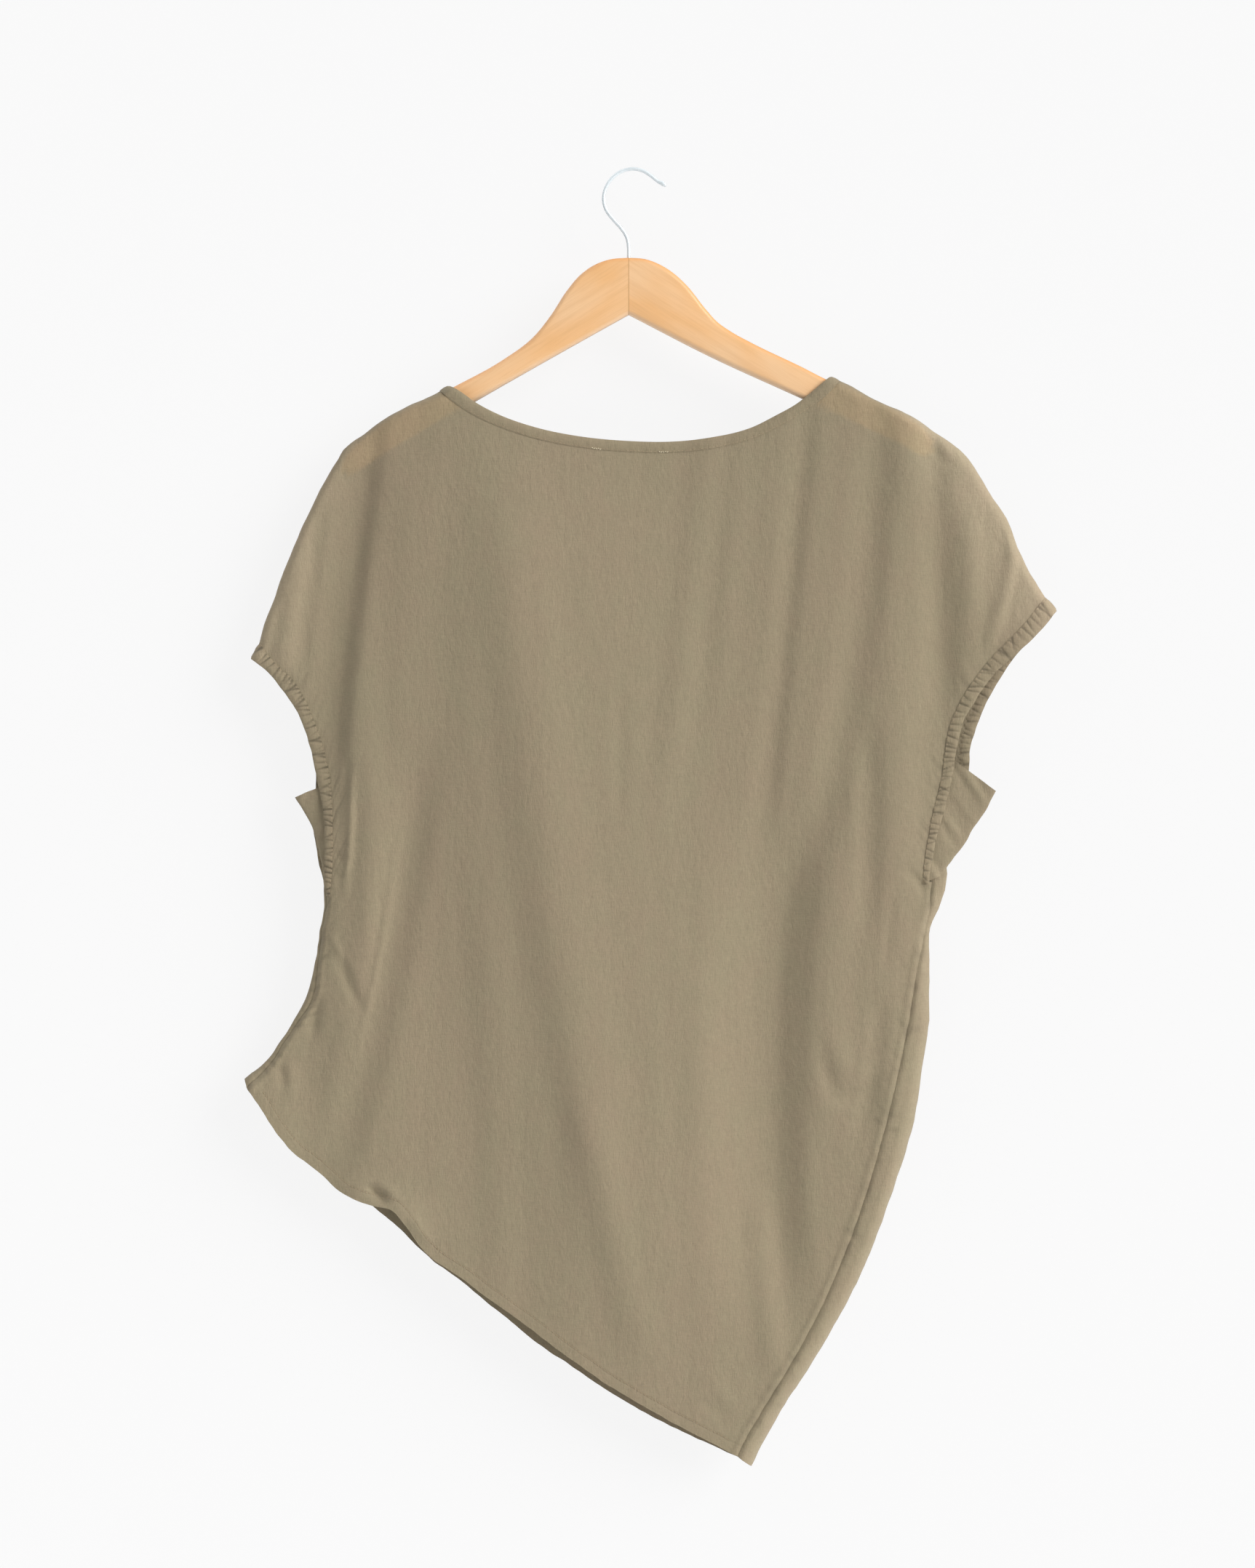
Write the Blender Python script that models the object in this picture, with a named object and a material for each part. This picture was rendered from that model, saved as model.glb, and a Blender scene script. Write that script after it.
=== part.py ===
"""Asymmetric cap-sleeved top, hung flat on a flat wooden hanger with a wire hook.

X runs to the right as the garment's back faces the viewer, Z runs up and the back faces -Y. The
origin is the inside of the hook's bend, where it rests on what holds it up. Tables and sizes are in
millimetres, and become metres when a mesh is made.
"""

import bpy
import numpy as np

MM = 0.001
BACK, FRONT = -1, 1

CLOTH_WALL = 1.2
HEM_WALL = 1.8
BINDING_WALL = 1.8
SEAM_GAP = 0.3

# How far the cloth stands from the middle plane: over the hanger's arms, in the sleeves, in the body.
ARM_REACH = 7.6
SLEEVE_REACH = 5.6
BODY_REACH = 12.0
SHOULDER_ROUND = 6.5
SIDE_ROUND = 16.0
BODY_FROM_Z = -200.0
BODY_OVER_Z = 220.0
SLEEVE_FROM_X = 185.0
SLEEVE_OVER_X = 55.0
SLEEVE_FROM_Z = -205.0
SLEEVE_OVER_Z = 60.0
FOLD_FADE = 0.25

FRONT_NECK_DROP = 14.0

# A panel's v is 0 along its top and 1 at its hem. The armholes end at UNDERARM, the sides start at NOTCH.
UNDERARM = 0.40
NOTCH = 0.404
END_GAP = 0.6
END_GAP_OVER = 0.04
STEP = 2e-4

SHOULDER_PIECES = 11
NECK_COLUMNS = 11
NECK_EASE = (2.2, 7.5)
TIP_EASE = 2.0
ARMHOLE_ROWS = 11
BODY_ROWS = 13
BINDING_SHARES = np.array([0.0, 0.5, 1.0])

# The gussets' top and low ends by v, how far into the binding they are sewn, and their folded edge.
GUSSET_TOPS = (0.235, 0.24)
GUSSET_LOW = 0.384
GUSSET_ROWS = 7
SEWN_SHARE = 0.1
GUSSET_FOLD_HALF = 1.1
GUSSET_FOLD_SHARE = 0.14

WOOD_THICK = 11.0
WOOD_ROUND = 5.0
JOINT_X = 2.2
WIRE_RADIUS = 1.35
SOCKET_DEPTH = 26.0


def table(columns, *rows):
    """Named columns of numbers from short rows."""
    return dict(zip(columns.split(), np.array(rows, float).T))


# The shoulder folds, from the sleeve's tip to the neck point.
SHOULDER_LEFT = table(
    "x z",
    (-276.0, -359.1),
    (-270.0, -349.5),
    (-266.2, -334.0),
    (-259.2, -316.2),
    (-250.3, -291.3),
    (-241.4, -270.0),
    (-230.7, -246.9),
    (-216.5, -220.3),
    (-204.2, -202.4),
    (-191.6, -193.5),
    (-177.4, -182.8),
    (-160.8, -173.7),
    (-142.0, -165.6),
    (-130.2, -158.7),
)
SHOULDER_RIGHT = table(
    "x z",
    (317.3, -324.0),
    (309.5, -315.6),
    (299.1, -298.8),
    (291.0, -283.5),
    (280.3, -256.2),
    (269.9, -240.7),
    (259.4, -223.0),
    (250.8, -210.6),
    (239.1, -200.5),
    (227.3, -193.0),
    (214.4, -183.2),
    (186.0, -169.9),
    (165.6, -159.2),
    (150.6, -152.0),
)

# The back neckline and the stitch line of its binding, from left to right.
NECK_BACK = table(
    "edge_x edge_z seam_x seam_z",
    (-130.2, -158.7, -136.1, -162.1),
    (-121.7, -163.8, -127.0, -169.9),
    (-109.0, -172.8, -113.0, -179.4),
    (-91.7, -181.7, -94.5, -188.3),
    (-64.9, -190.8, -66.5, -197.6),
    (-32.2, -197.2, -33.0, -204.1),
    (0.0, -200.1, 0.0, -207.0),
    (32.2, -200.6, 32.4, -207.6),
    (64.3, -197.2, 65.6, -204.2),
    (92.7, -190.0, 95.6, -196.4),
    (110.4, -181.2, 113.8, -187.6),
    (124.9, -173.1, 129.5, -178.6),
    (141.0, -160.3, 146.4, -166.0),
    (150.6, -152.0, 156.8, -154.9),
)

# Each armhole and the stitch line of its binding, from the sleeve's tip down to the underarm.
ARMHOLE_LEFT_BACK = table(
    "edge_x edge_z seam_x seam_z",
    (-276.0, -359.1, -270.0, -349.5),
    (-264.8, -367.4, -258.8, -362.9),
    (-251.9, -383.2, -244.6, -377.0),
    (-240.1, -400.7, -233.0, -397.6),
    (-232.1, -425.0, -224.3, -422.6),
    (-225.4, -454.0, -217.4, -452.4),
    (-221.6, -476.0, -215.8, -475.5),
    (-220.8, -492.0, -215.4, -492.0),
    (-221.2, -514.0, -216.0, -514.0),
    (-221.8, -533.0, -217.4, -533.0),
)
ARMHOLE_LEFT_FRONT = table(
    "edge_x edge_z seam_x seam_z",
    (-276.0, -359.1, -270.0, -349.5),
    (-263.5, -368.0, -257.5, -363.6),
    (-250.0, -384.5, -243.0, -378.6),
    (-238.5, -402.0, -231.2, -398.8),
    (-231.0, -426.0, -223.2, -423.8),
    (-228.3, -450.0, -220.4, -449.4),
    (-229.6, -468.0, -222.0, -468.0),
    (-230.3, -484.0, -223.4, -484.0),
    (-227.9, -500.0, -221.6, -500.0),
    (-225.4, -515.0, -219.6, -515.0),
    (-222.4, -532.0, -217.4, -532.0),
)
ARMHOLE_RIGHT_BACK = table(
    "edge_x edge_z seam_x seam_z",
    (317.3, -324.0, 309.5, -315.6),
    (303.4, -340.4, 297.0, -331.9),
    (288.4, -354.3, 282.4, -346.4),
    (271.2, -370.4, 263.8, -366.4),
    (258.9, -387.3, 250.0, -386.0),
    (249.8, -402.5, 241.9, -402.0),
    (243.9, -422.9, 236.8, -421.5),
    (239.6, -448.1, 232.9, -448.0),
    (233.2, -475.4, 226.6, -474.0),
    (228.3, -492.0, 222.9, -492.0),
    (225.3, -510.0, 219.9, -510.0),
    (224.0, -522.3, 218.4, -522.3),
)
ARMHOLE_RIGHT_FRONT = table(
    "edge_x edge_z seam_x seam_z",
    (317.3, -324.0, 309.5, -315.6),
    (303.4, -341.0, 296.6, -332.8),
    (291.0, -353.0, 284.0, -346.6),
    (278.2, -370.4, 270.8, -366.0),
    (266.9, -390.7, 259.0, -388.0),
    (261.6, -403.3, 253.7, -401.4),
    (257.8, -413.8, 250.0, -412.6),
    (254.4, -426.7, 246.8, -426.0),
    (253.0, -441.7, 245.6, -441.7),
    (249.5, -470.0, 242.3, -469.4),
    (244.0, -498.0, 237.5, -497.0),
    (237.2, -516.0, 231.0, -515.6),
)

# Each side below the underarm: the fold that makes the outline, and the seam that joins the front
# panel, wrapped round that fold, to the back panel.
SIDE_LEFT = table(
    "fold_x fold_z seam_x seam_z",
    (-222.2, -533.4, -220.0, -534.6),
    (-222.5, -546.5, -221.0, -546.8),
    (-224.6, -558.5, -223.0, -558.8),
    (-228.6, -583.7, -226.2, -584.2),
    (-235.3, -608.4, -230.4, -610.2),
    (-243.4, -625.0, -240.6, -626.8),
    (-252.4, -639.2, -250.4, -640.8),
    (-265.0, -656.4, -262.2, -658.8),
    (-280.5, -669.7, -278.4, -675.8),
)
SIDE_RIGHT = table(
    "fold_x fold_z seam_x seam_z",
    (236.9, -518.0, 224.6, -523.6),
    (235.4, -528.0, 224.1, -531.0),
    (230.4, -543.4, 223.2, -545.0),
    (224.6, -556.4, 220.6, -558.0),
    (223.4, -580.0, 215.6, -581.0),
    (222.7, -632.7, 206.8, -632.7),
    (218.2, -661.2, 201.2, -659.0),
    (212.8, -697.3, 193.4, -692.5),
    (199.7, -741.8, 181.4, -736.5),
    (180.9, -794.6, 164.0, -787.5),
    (156.5, -845.3, 143.5, -836.2),
    (137.8, -877.4, 125.4, -869.5),
    (120.6, -903.7, 107.2, -900.2),
    (102.1, -935.3, 91.6, -926.0),
    (92.6, -953.7, 81.6, -944.9),
)

# The hems, from left to right.
HEM_BACK = table(
    "x z",
    (-278.4, -675.8),
    (-270.7, -685.9),
    (-255.1, -709.7),
    (-245.0, -721.8),
    (-229.6, -733.8),
    (-204.2, -754.2),
    (-186.5, -761.1),
    (-171.5, -764.3),
    (-162.9, -773.8),
    (-147.9, -794.4),
    (-122.2, -813.1),
    (-86.3, -839.4),
    (-53.6, -863.0),
    (-22.5, -885.8),
    (5.4, -903.2),
    (37.8, -921.7),
    (65.2, -936.1),
    (81.6, -944.9),
)
HEM_FRONT = table(
    "x z",
    (-280.5, -669.7),
    (-277.6, -677.6),
    (-270.7, -687.0),
    (-255.1, -710.5),
    (-229.6, -735.0),
    (-204.2, -755.0),
    (-186.5, -765.0),
    (-173.4, -776.0),
    (-149.0, -799.5),
    (-124.4, -818.0),
    (-96.5, -840.5),
    (-65.9, -865.0),
    (-40.7, -882.5),
    (-13.1, -901.0),
    (14.5, -917.5),
    (50.2, -935.0),
    (76.1, -947.0),
    (92.6, -953.7),
)

# The outer fold of each underarm gusset, from its top corner down.
GUSSET_LEFT = table(
    "x z",
    (-243.3, -461.5),
    (-236.8, -472.4),
    (-230.5, -484.0),
    (-226.6, -498.0),
    (-223.4, -512.0),
    (-222.6, -522.0),
)
GUSSET_RIGHT = table(
    "x z",
    (272.8, -457.0),
    (265.3, -470.6),
    (256.0, -484.6),
    (249.6, -496.0),
    (241.2, -507.4),
    (236.0, -515.0),
)

# The largest folds of each panel, each on a smooth line through three points. Height is outward, so a
# trough's is below zero.
FOLD_COLUMNS = "top_x top_z mid_x mid_z low_x low_z half_width height"
FOLDS_BACK = table(
    FOLD_COLUMNS,
    (-188.0, -236.0, -206.4, -390.0, -213.0, -500.0, 15.0, -3.6),
    (-191.0, -330.0, -199.5, -430.0, -207.0, -545.0, 12.0, 2.2),
    (-128.0, -215.0, -112.0, -480.0, -108.0, -850.0, 34.0, -3.2),
    (-97.0, -410.0, -62.0, -570.0, 4.0, -850.0, 26.0, -3.0),
    (-152.0, -410.0, -168.0, -530.0, -210.0, -690.0, 22.0, 3.0),
    (126.0, -205.0, 111.0, -365.0, 60.0, -640.0, 24.0, 3.0),
    (97.0, -220.0, 79.0, -336.0, 50.0, -470.0, 18.0, -2.0),
    (62.0, -220.0, 50.0, -340.0, 22.0, -560.0, 16.0, 1.6),
    (176.0, -350.0, 134.0, -550.0, 126.0, -830.0, 20.0, -4.0),
    (194.0, -235.0, 192.0, -380.0, 184.0, -500.0, 16.0, -2.4),
    (209.0, -222.0, 212.0, -380.0, 202.0, -500.0, 12.0, 2.0),
    (20.0, -600.0, 44.0, -720.0, 60.0, -900.0, 30.0, 2.4),
    (92.0, -720.0, 100.0, -800.0, 108.0, -890.0, 14.0, 2.2),
)
FOLDS_FRONT = table(
    FOLD_COLUMNS,
    (-192.0, -240.0, -204.0, -380.0, -210.0, -510.0, 18.0, -3.0),
    (-146.0, -220.0, -132.0, -470.0, -120.0, -830.0, 36.0, -2.8),
    (-84.0, -300.0, -58.0, -520.0, -20.0, -800.0, 26.0, 2.6),
    (-170.0, -430.0, -182.0, -560.0, -216.0, -700.0, 20.0, 2.4),
    (30.0, -260.0, 16.0, -480.0, -4.0, -700.0, 30.0, -2.6),
    (110.0, -220.0, 92.0, -430.0, 66.0, -700.0, 26.0, 2.8),
    (168.0, -300.0, 150.0, -520.0, 118.0, -840.0, 24.0, -3.4),
    (206.0, -230.0, 208.0, -380.0, 198.0, -520.0, 14.0, 2.0),
    (70.0, -640.0, 72.0, -760.0, 84.0, -900.0, 24.0, 2.0),
)

# The hanger's left and right halves, from the joint out along the top edge and back along the lower.
WOOD_LEFT = table(
    "x z",
    (-11.2, -65.4),
    (-23.3, -69.7),
    (-33.8, -77.2),
    (-42.9, -87.9),
    (-56.3, -108.3),
    (-68.1, -122.7),
    (-91.1, -139.9),
    (-124.1, -158.1),
    (-142.0, -167.3),
    (-160.8, -175.5),
    (-177.4, -185.4),
    (-190.8, -196.4),
    (-200.0, -205.0),
    (-206.6, -213.0),
    (-209.6, -219.6),
    (-207.6, -224.8),
    (-202.1, -223.4),
    (-179.0, -210.1),
    (-154.4, -195.6),
    (-111.5, -170.4),
    (-42.9, -131.3),
)
WOOD_RIGHT = table(
    "x z",
    (14.3, -65.3),
    (24.7, -69.1),
    (35.4, -75.8),
    (44.5, -84.2),
    (59.5, -102.9),
    (67.0, -111.2),
    (77.5, -118.7),
    (92.5, -126.9),
    (130.1, -145.0),
    (146.6, -153.4),
    (165.6, -161.1),
    (186.0, -171.3),
    (205.0, -180.6),
    (214.4, -186.6),
    (221.6, -193.4),
    (225.8, -200.6),
    (226.2, -207.6),
    (221.6, -210.8),
    (200.0, -200.8),
    (130.2, -168.0),
    (62.2, -136.9),
)
JOINT_TOP_Z = -64.3
JOINT_LOW_Z = -106.1

# The hook's wire from its tip, over the bend and down into the wood, with the wire's swelling.
HOOK = table(
    "x z swell",
    (29.6, -11.4, 0.55),
    (28.9, -10.4, 1.2),
    (27.2, -9.4, 1.3),
    (24.6, -8.2, 1.0),
    (19.2, -4.0, 1.0),
    (13.0, -0.1, 1.0),
    (5.6, 1.45, 1.0),
    (-2.1, 0.1, 1.0),
    (-10.6, -5.9, 1.0),
    (-15.0, -13.4, 1.0),
    (-16.3, -20.4, 1.0),
    (-14.5, -28.4, 1.0),
    (-9.0, -36.0, 1.0),
    (-2.8, -43.0, 1.0),
    (0.9, -49.2, 1.0),
    (2.1, -56.0, 1.0),
    (2.2, -64.0, 1.0),
)


def spline(knots, values, at):
    """The smooth curve through the values, read at each place in `at`."""
    knots = np.asarray(knots, float)
    values = np.asarray(values, float)
    at = np.asarray(at, float)
    slopes = np.gradient(values, knots)
    low = np.clip(np.searchsorted(knots, at, side="right") - 1, 0, len(knots) - 2)
    span = knots[low + 1] - knots[low]
    t = (at - knots[low]) / span
    start = (1 + 2 * t) * (1 - t) ** 2 * values[low] + t * (1 - t) ** 2 * span * slopes[low]
    end = t * t * (3 - 2 * t) * values[low + 1] + t * t * (t - 1) * span * slopes[low + 1]
    return start + end


def chord_places(x, z):
    """How far along a line each of its points lies, from 0 to 1."""
    lengths = np.hypot(np.diff(x), np.diff(z))
    places = np.concatenate([[0.0], np.cumsum(lengths)])
    return places / places[-1]


def along(x, z, at, places=None):
    """The points at the places `at`, from 0 to 1, on the smooth line through x and z."""
    if places is None:
        places = chord_places(x, z)
    return np.stack([spline(places, x, at), spline(places, z, at)], axis=-1)


def dense(x, z, count=240):
    return along(x, z, np.linspace(0, 1, count))


def distance(points, line):
    """The distance of each point from a line of short straight pieces."""
    starts = line[:-1]
    runs = line[1:] - starts
    lengths = (runs**2).sum(1)
    least = np.full(points.shape[:-1], np.inf)
    for start, run, length in zip(starts, runs, lengths):
        offset = points - start
        t = np.clip((offset @ run) / length, 0, 1)
        least = np.minimum(least, ((offset - t[..., None] * run) ** 2).sum(-1))
    return np.sqrt(least)


def smooth(t):
    t = np.clip(t, 0, 1)
    return t * t * (3 - 2 * t)


def quarter_round(distance_in, radius):
    """0 at a fold's edge and 1 where the sheet is flat again, along an ellipse's quarter."""
    return np.sqrt(1 - (1 - np.clip(distance_in / radius, 0, 1)) ** 2)


SHOULDER_LINES = (
    dense(SHOULDER_LEFT["x"], SHOULDER_LEFT["z"]),
    dense(SHOULDER_RIGHT["x"], SHOULDER_RIGHT["z"]),
)
SIDE_LINES = (
    dense(SIDE_LEFT["fold_x"], SIDE_LEFT["fold_z"]),
    dense(SIDE_RIGHT["fold_x"], SIDE_RIGHT["fold_z"]),
)


def folds(rows, points):
    """The height of a panel's folds at each point."""
    x = points[..., 0]
    z = points[..., 1]
    height = np.zeros(x.shape)
    for row in zip(*rows.values()):
        top_x, top_z, mid_x, mid_z, low_x, low_z, half_width, tall = row
        toward_mid = (z - mid_z) * (z - low_z) / ((top_z - mid_z) * (top_z - low_z))
        at_mid = (z - top_z) * (z - low_z) / ((mid_z - top_z) * (mid_z - low_z))
        toward_low = (z - top_z) * (z - mid_z) / ((low_z - top_z) * (low_z - mid_z))
        middle = top_x * toward_mid + mid_x * at_mid + low_x * toward_low
        across = np.clip(np.abs(x - middle) / half_width, 0, 1)
        down = (top_z - z) / (top_z - low_z)
        fade = smooth(down / FOLD_FADE) * smooth((1 - down) / FOLD_FADE)
        height += tall * fade * 0.5 * (1 + np.cos(np.pi * across))
    return height


def reach(side, points):
    """How far the cloth's middle stands from the plane between the panels."""
    x = points[..., 0]
    z = points[..., 1]
    body = ARM_REACH + (BODY_REACH - ARM_REACH) * smooth((BODY_FROM_Z - z) / BODY_OVER_Z)
    out = smooth((np.abs(x) - SLEEVE_FROM_X) / SLEEVE_OVER_X)
    sleeve = out * smooth((SLEEVE_FROM_Z - z) / SLEEVE_OVER_Z)
    flat = body + (SLEEVE_REACH - body) * sleeve
    over_shoulder = np.minimum(*(distance(points, line) for line in SHOULDER_LINES))
    over_side = np.minimum(*(distance(points, line) for line in SIDE_LINES))
    shape = quarter_round(over_shoulder, SHOULDER_ROUND) * quarter_round(over_side, SIDE_ROUND)
    rows = FOLDS_BACK if side == BACK else FOLDS_FRONT
    return shape * flat + shape**4 * folds(rows, points)


def unit(vectors):
    return vectors / np.maximum(np.linalg.norm(vectors, axis=-1, keepdims=True), 1e-12)


def stand(side, points, least=SEAM_GAP / 2):
    """Points of the outline's plane, moved out to the cloth's middle."""
    y = side * np.maximum(reach(side, points), least)
    return np.stack([points[..., 0], y, points[..., 1]], axis=-1)


def neck_of(side):
    """The neck table of one panel: the front's is the back's, lowered toward the middle."""
    neck = dict(NECK_BACK)
    if side == FRONT:
        middle = (neck["seam_x"][0] + neck["seam_x"][-1]) / 2
        half = neck["seam_x"][-1] - middle
        for part in ("edge", "seam"):
            off_middle = np.clip((neck[part + "_x"] - middle) / half, -1, 1)
            neck[part + "_z"] = neck[part + "_z"] - FRONT_NECK_DROP * (1 - off_middle**2) ** 1.5
    return neck


def shoulder_to_seam(shoulder, corner_x):
    """The shoulder's points between the armhole binding and the neck binding."""
    x = shoulder["x"]
    z = shoulder["z"]
    keep = (np.abs(x) > abs(corner_x) + 3) & (np.arange(len(x)) > 0)
    return x[keep], z[keep]


def top_edge(side):
    """A panel's top edge as x and z, left shoulder, neck seam and right shoulder, in three runs."""
    neck = neck_of(side)
    corner_left = (neck["seam_x"][0], neck["seam_z"][0])
    corner_right = (neck["seam_x"][-1], neck["seam_z"][-1])
    left_x, left_z = shoulder_to_seam(SHOULDER_LEFT, corner_left[0])
    right_x, right_z = shoulder_to_seam(SHOULDER_RIGHT, corner_right[0])
    left = (np.append(left_x, corner_left[0]), np.append(left_z, corner_left[1]))
    right = (np.append(right_x, corner_right[0])[::-1], np.append(right_z, corner_right[1])[::-1])
    return [dense(*left), dense(neck["seam_x"], neck["seam_z"]), dense(*right)]


ARMHOLES = {
    (BACK, 0): ARMHOLE_LEFT_BACK,
    (FRONT, 0): ARMHOLE_LEFT_FRONT,
    (BACK, 1): ARMHOLE_RIGHT_BACK,
    (FRONT, 1): ARMHOLE_RIGHT_FRONT,
}
SIDES = (SIDE_LEFT, SIDE_RIGHT)
HEMS = {BACK: HEM_BACK, FRONT: HEM_FRONT}
TOPS = {side: np.concatenate(top_edge(side)) for side in (BACK, FRONT)}
TOP_LEFT_X = TOPS[BACK][0, 0]
TOP_RIGHT_X = TOPS[BACK][-1, 0]


def armhole_point(side, end, part, v):
    """A point on an armhole's edge or seam, v from 0 at the tip to UNDERARM."""
    rows = ARMHOLES[side, end]
    places = chord_places(rows["seam_x"], rows["seam_z"])
    return along(rows[part + "_x"], rows[part + "_z"], np.asarray(v) / UNDERARM, places)


def side_point(end, part, v):
    """A point on a side's fold or seam, v from NOTCH at the underarm to 1."""
    rows = SIDES[end]
    places = chord_places(rows["fold_x"], rows["fold_z"])
    return along(rows[part + "_x"], rows[part + "_z"], (np.asarray(v) - NOTCH) / (1 - NOTCH), places)


def flank(side, end, v):
    """The left (0) or right (1) edge of a panel at v."""
    v = np.asarray(v, float)
    above = armhole_point(side, end, "seam", np.minimum(v, UNDERARM))
    lower_v = np.maximum(v, NOTCH)
    if side == BACK:
        seam = side_point(end, "seam", lower_v)
        below = seam + SEAM_GAP * unit(seam - side_point(end, "fold", lower_v))
    else:
        below = side_point(end, "fold", lower_v)
    mix = np.clip((v - UNDERARM) / (NOTCH - UNDERARM), 0, 1)[..., None]
    return above + (below - above) * mix


def plan(side, u, v):
    """A panel's point in the outline's plane: u runs left to right, v from the top to the hem."""
    u, v = np.broadcast_arrays(np.asarray(u, float), np.asarray(v, float))
    top_x = TOP_LEFT_X + u * (TOP_RIGHT_X - TOP_LEFT_X)
    top = np.stack([top_x, np.interp(top_x, TOPS[side][:, 0], TOPS[side][:, 1])], axis=-1)
    left = flank(side, 0, v)
    right = flank(side, 1, v)
    corners = [flank(side, end, float(low)) for low in (0, 1) for end in (0, 1)]
    top_left, top_right, low_left, low_right = corners
    hem = dense(HEMS[side]["x"], HEMS[side]["z"])
    low_x = low_left[0] + u * (low_right[0] - low_left[0])
    low = np.stack([low_x, np.interp(low_x, hem[:, 0], hem[:, 1])], axis=-1)
    u = u[..., None]
    v = v[..., None]
    ruled = (1 - v) * top + v * low + (1 - u) * left + u * right
    doubled = (1 - v) * ((1 - u) * top_left + u * top_right)
    return ruled - doubled - v * ((1 - u) * low_left + u * low_right)


def back_surface(u, v):
    u = np.clip(u, 0, 1)
    return stand(BACK, plan(BACK, u, np.clip(v, 0, 1)))


def front_surface(u, v):
    """The front panel. Below 0 and above 1, u goes round the side's fold to the back seam."""
    u, v = np.broadcast_arrays(np.asarray(u, float), np.clip(v, 0, 1))
    u = np.where(v < NOTCH - 1e-9, np.clip(u, 0, 1), u)
    main = stand(FRONT, plan(FRONT, np.clip(u, 0, 1), v))
    result = main
    for end, wrapped in ((0, -u), (1, u - 1)):
        share = np.clip(wrapped, 0, 1)[..., None]
        lower_v = np.maximum(v, NOTCH)
        fold = side_point(end, "fold", lower_v)
        round_back = stand(BACK, fold + (side_point(end, "seam", lower_v) - fold) * share, 0.0)
        result = np.where(wrapped[..., None] > 1e-9, round_back, result)
    on_fold = (v >= NOTCH - 1e-9) & ((np.abs(u) < 1e-9) | (np.abs(u - 1) < 1e-9))
    result[..., 1] = np.where(on_fold, 0.0, result[..., 1])
    return result


def grid(surface, us, vs, turn=1, notched=False):
    """The surface's points and outward directions on a grid of us by vs.

    Where it is notched, no slope is taken across the step below the armholes.
    """
    u, v = np.meshgrid(us, vs, indexing="ij")
    points = surface(u, v)
    low = v + STEP
    high = v - STEP
    if notched:
        low = np.where(v <= UNDERARM, np.minimum(low, UNDERARM), low)
        high = np.where(v >= NOTCH, np.maximum(high, NOTCH), high)
    across = surface(u + STEP, v) - surface(u - STEP, v)
    down = surface(u, low) - surface(u, high)
    return points, turn * unit(np.cross(across, down))


def cells(columns, rows, keep=None, loop=False):
    """The grid's four-cornered cells, as indices into its points."""
    found = []
    for i in range(columns if loop else columns - 1):
        for j in range(rows - 1):
            if keep is None or keep(i, j):
                after = (i + 1) % columns
                found.append((i * rows + j, after * rows + j, after * rows + j + 1, i * rows + j + 1))
    return found


def make_wall(name, points, outward, faces, thick, material):
    """A closed wall of the given thickness around a sheet of four-cornered faces."""
    points = points.reshape(-1, 3)
    outward = outward.reshape(-1, 3)
    half = np.broadcast_to(np.asarray(thick, float).reshape(-1, 1), (len(points), 1)) / 2
    used = sorted({corner for face in faces for corner in face})
    place = {corner: number for number, corner in enumerate(used)}
    count = len(used)
    outer = (points + outward * half)[used]
    inner = (points - outward * half)[used]
    triangles = []
    edges = {}
    for face in faces:
        a, b, c, d = (place[corner] for corner in face)
        triangles += [(a, b, c), (a, c, d)]
        triangles += [(a + count, c + count, b + count), (a + count, d + count, c + count)]
        for start, end in ((a, b), (b, c), (c, d), (d, a)):
            edges[start, end] = True
    for start, end in edges:
        if (end, start) not in edges:
            triangles += [(start, start + count, end + count), (start, end + count, end)]
    corners = np.concatenate([outer, inner])
    return make_object(name, corners, triangles, material)


def make_object(name, corners, faces, material):
    """A mesh object whose faces point out, from points in millimetres."""
    corners = np.asarray(corners) * MM
    volume = sum(
        np.dot(corners[face[0]], np.cross(corners[face[k]], corners[face[k + 1]]))
        for face in faces
        for k in range(1, len(face) - 1)
    )
    if volume < 0:
        faces = [tuple(reversed(face)) for face in faces]
    mesh = bpy.data.meshes.new(name)
    mesh.from_pydata([tuple(corner) for corner in corners], [], faces)
    mesh.validate()
    mesh.shade_smooth()
    mesh.set_sharp_from_angle(angle=np.radians(50))
    mesh.materials.append(material)
    made = bpy.data.objects.new(name, mesh)
    bpy.context.collection.objects.link(made)
    return made


def plain_material(name, colour, roughness, metallic=0.0):
    material = bpy.data.materials.new(name)
    material.use_nodes = True
    shader = material.node_tree.nodes["Principled BSDF"]
    shader.inputs["Base Color"].default_value = (*colour, 1.0)
    shader.inputs["Roughness"].default_value = roughness
    shader.inputs["Metallic"].default_value = metallic
    return material


def spread(start, end, count, ease_start=(), ease_end=()):
    """Places from start to end, with extra ones near the ends where the cloth turns a fold."""
    low = start + max(ease_start, default=0)
    high = end - max(ease_end, default=0)
    eased = [start + ease for ease in (0, *ease_start)] + [end - ease for ease in (0, *ease_end)]
    return sorted({round(place, 6) for place in (*eased, *np.linspace(low, high, count))})


def shoulder_columns(run, pieces):
    """The columns' x along a shoulder, evenly parted along its slope."""
    places = chord_places(run[:, 0], run[:, 1])
    return list(np.interp(np.linspace(0, 1, pieces + 1), places, run[:, 0]))


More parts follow.
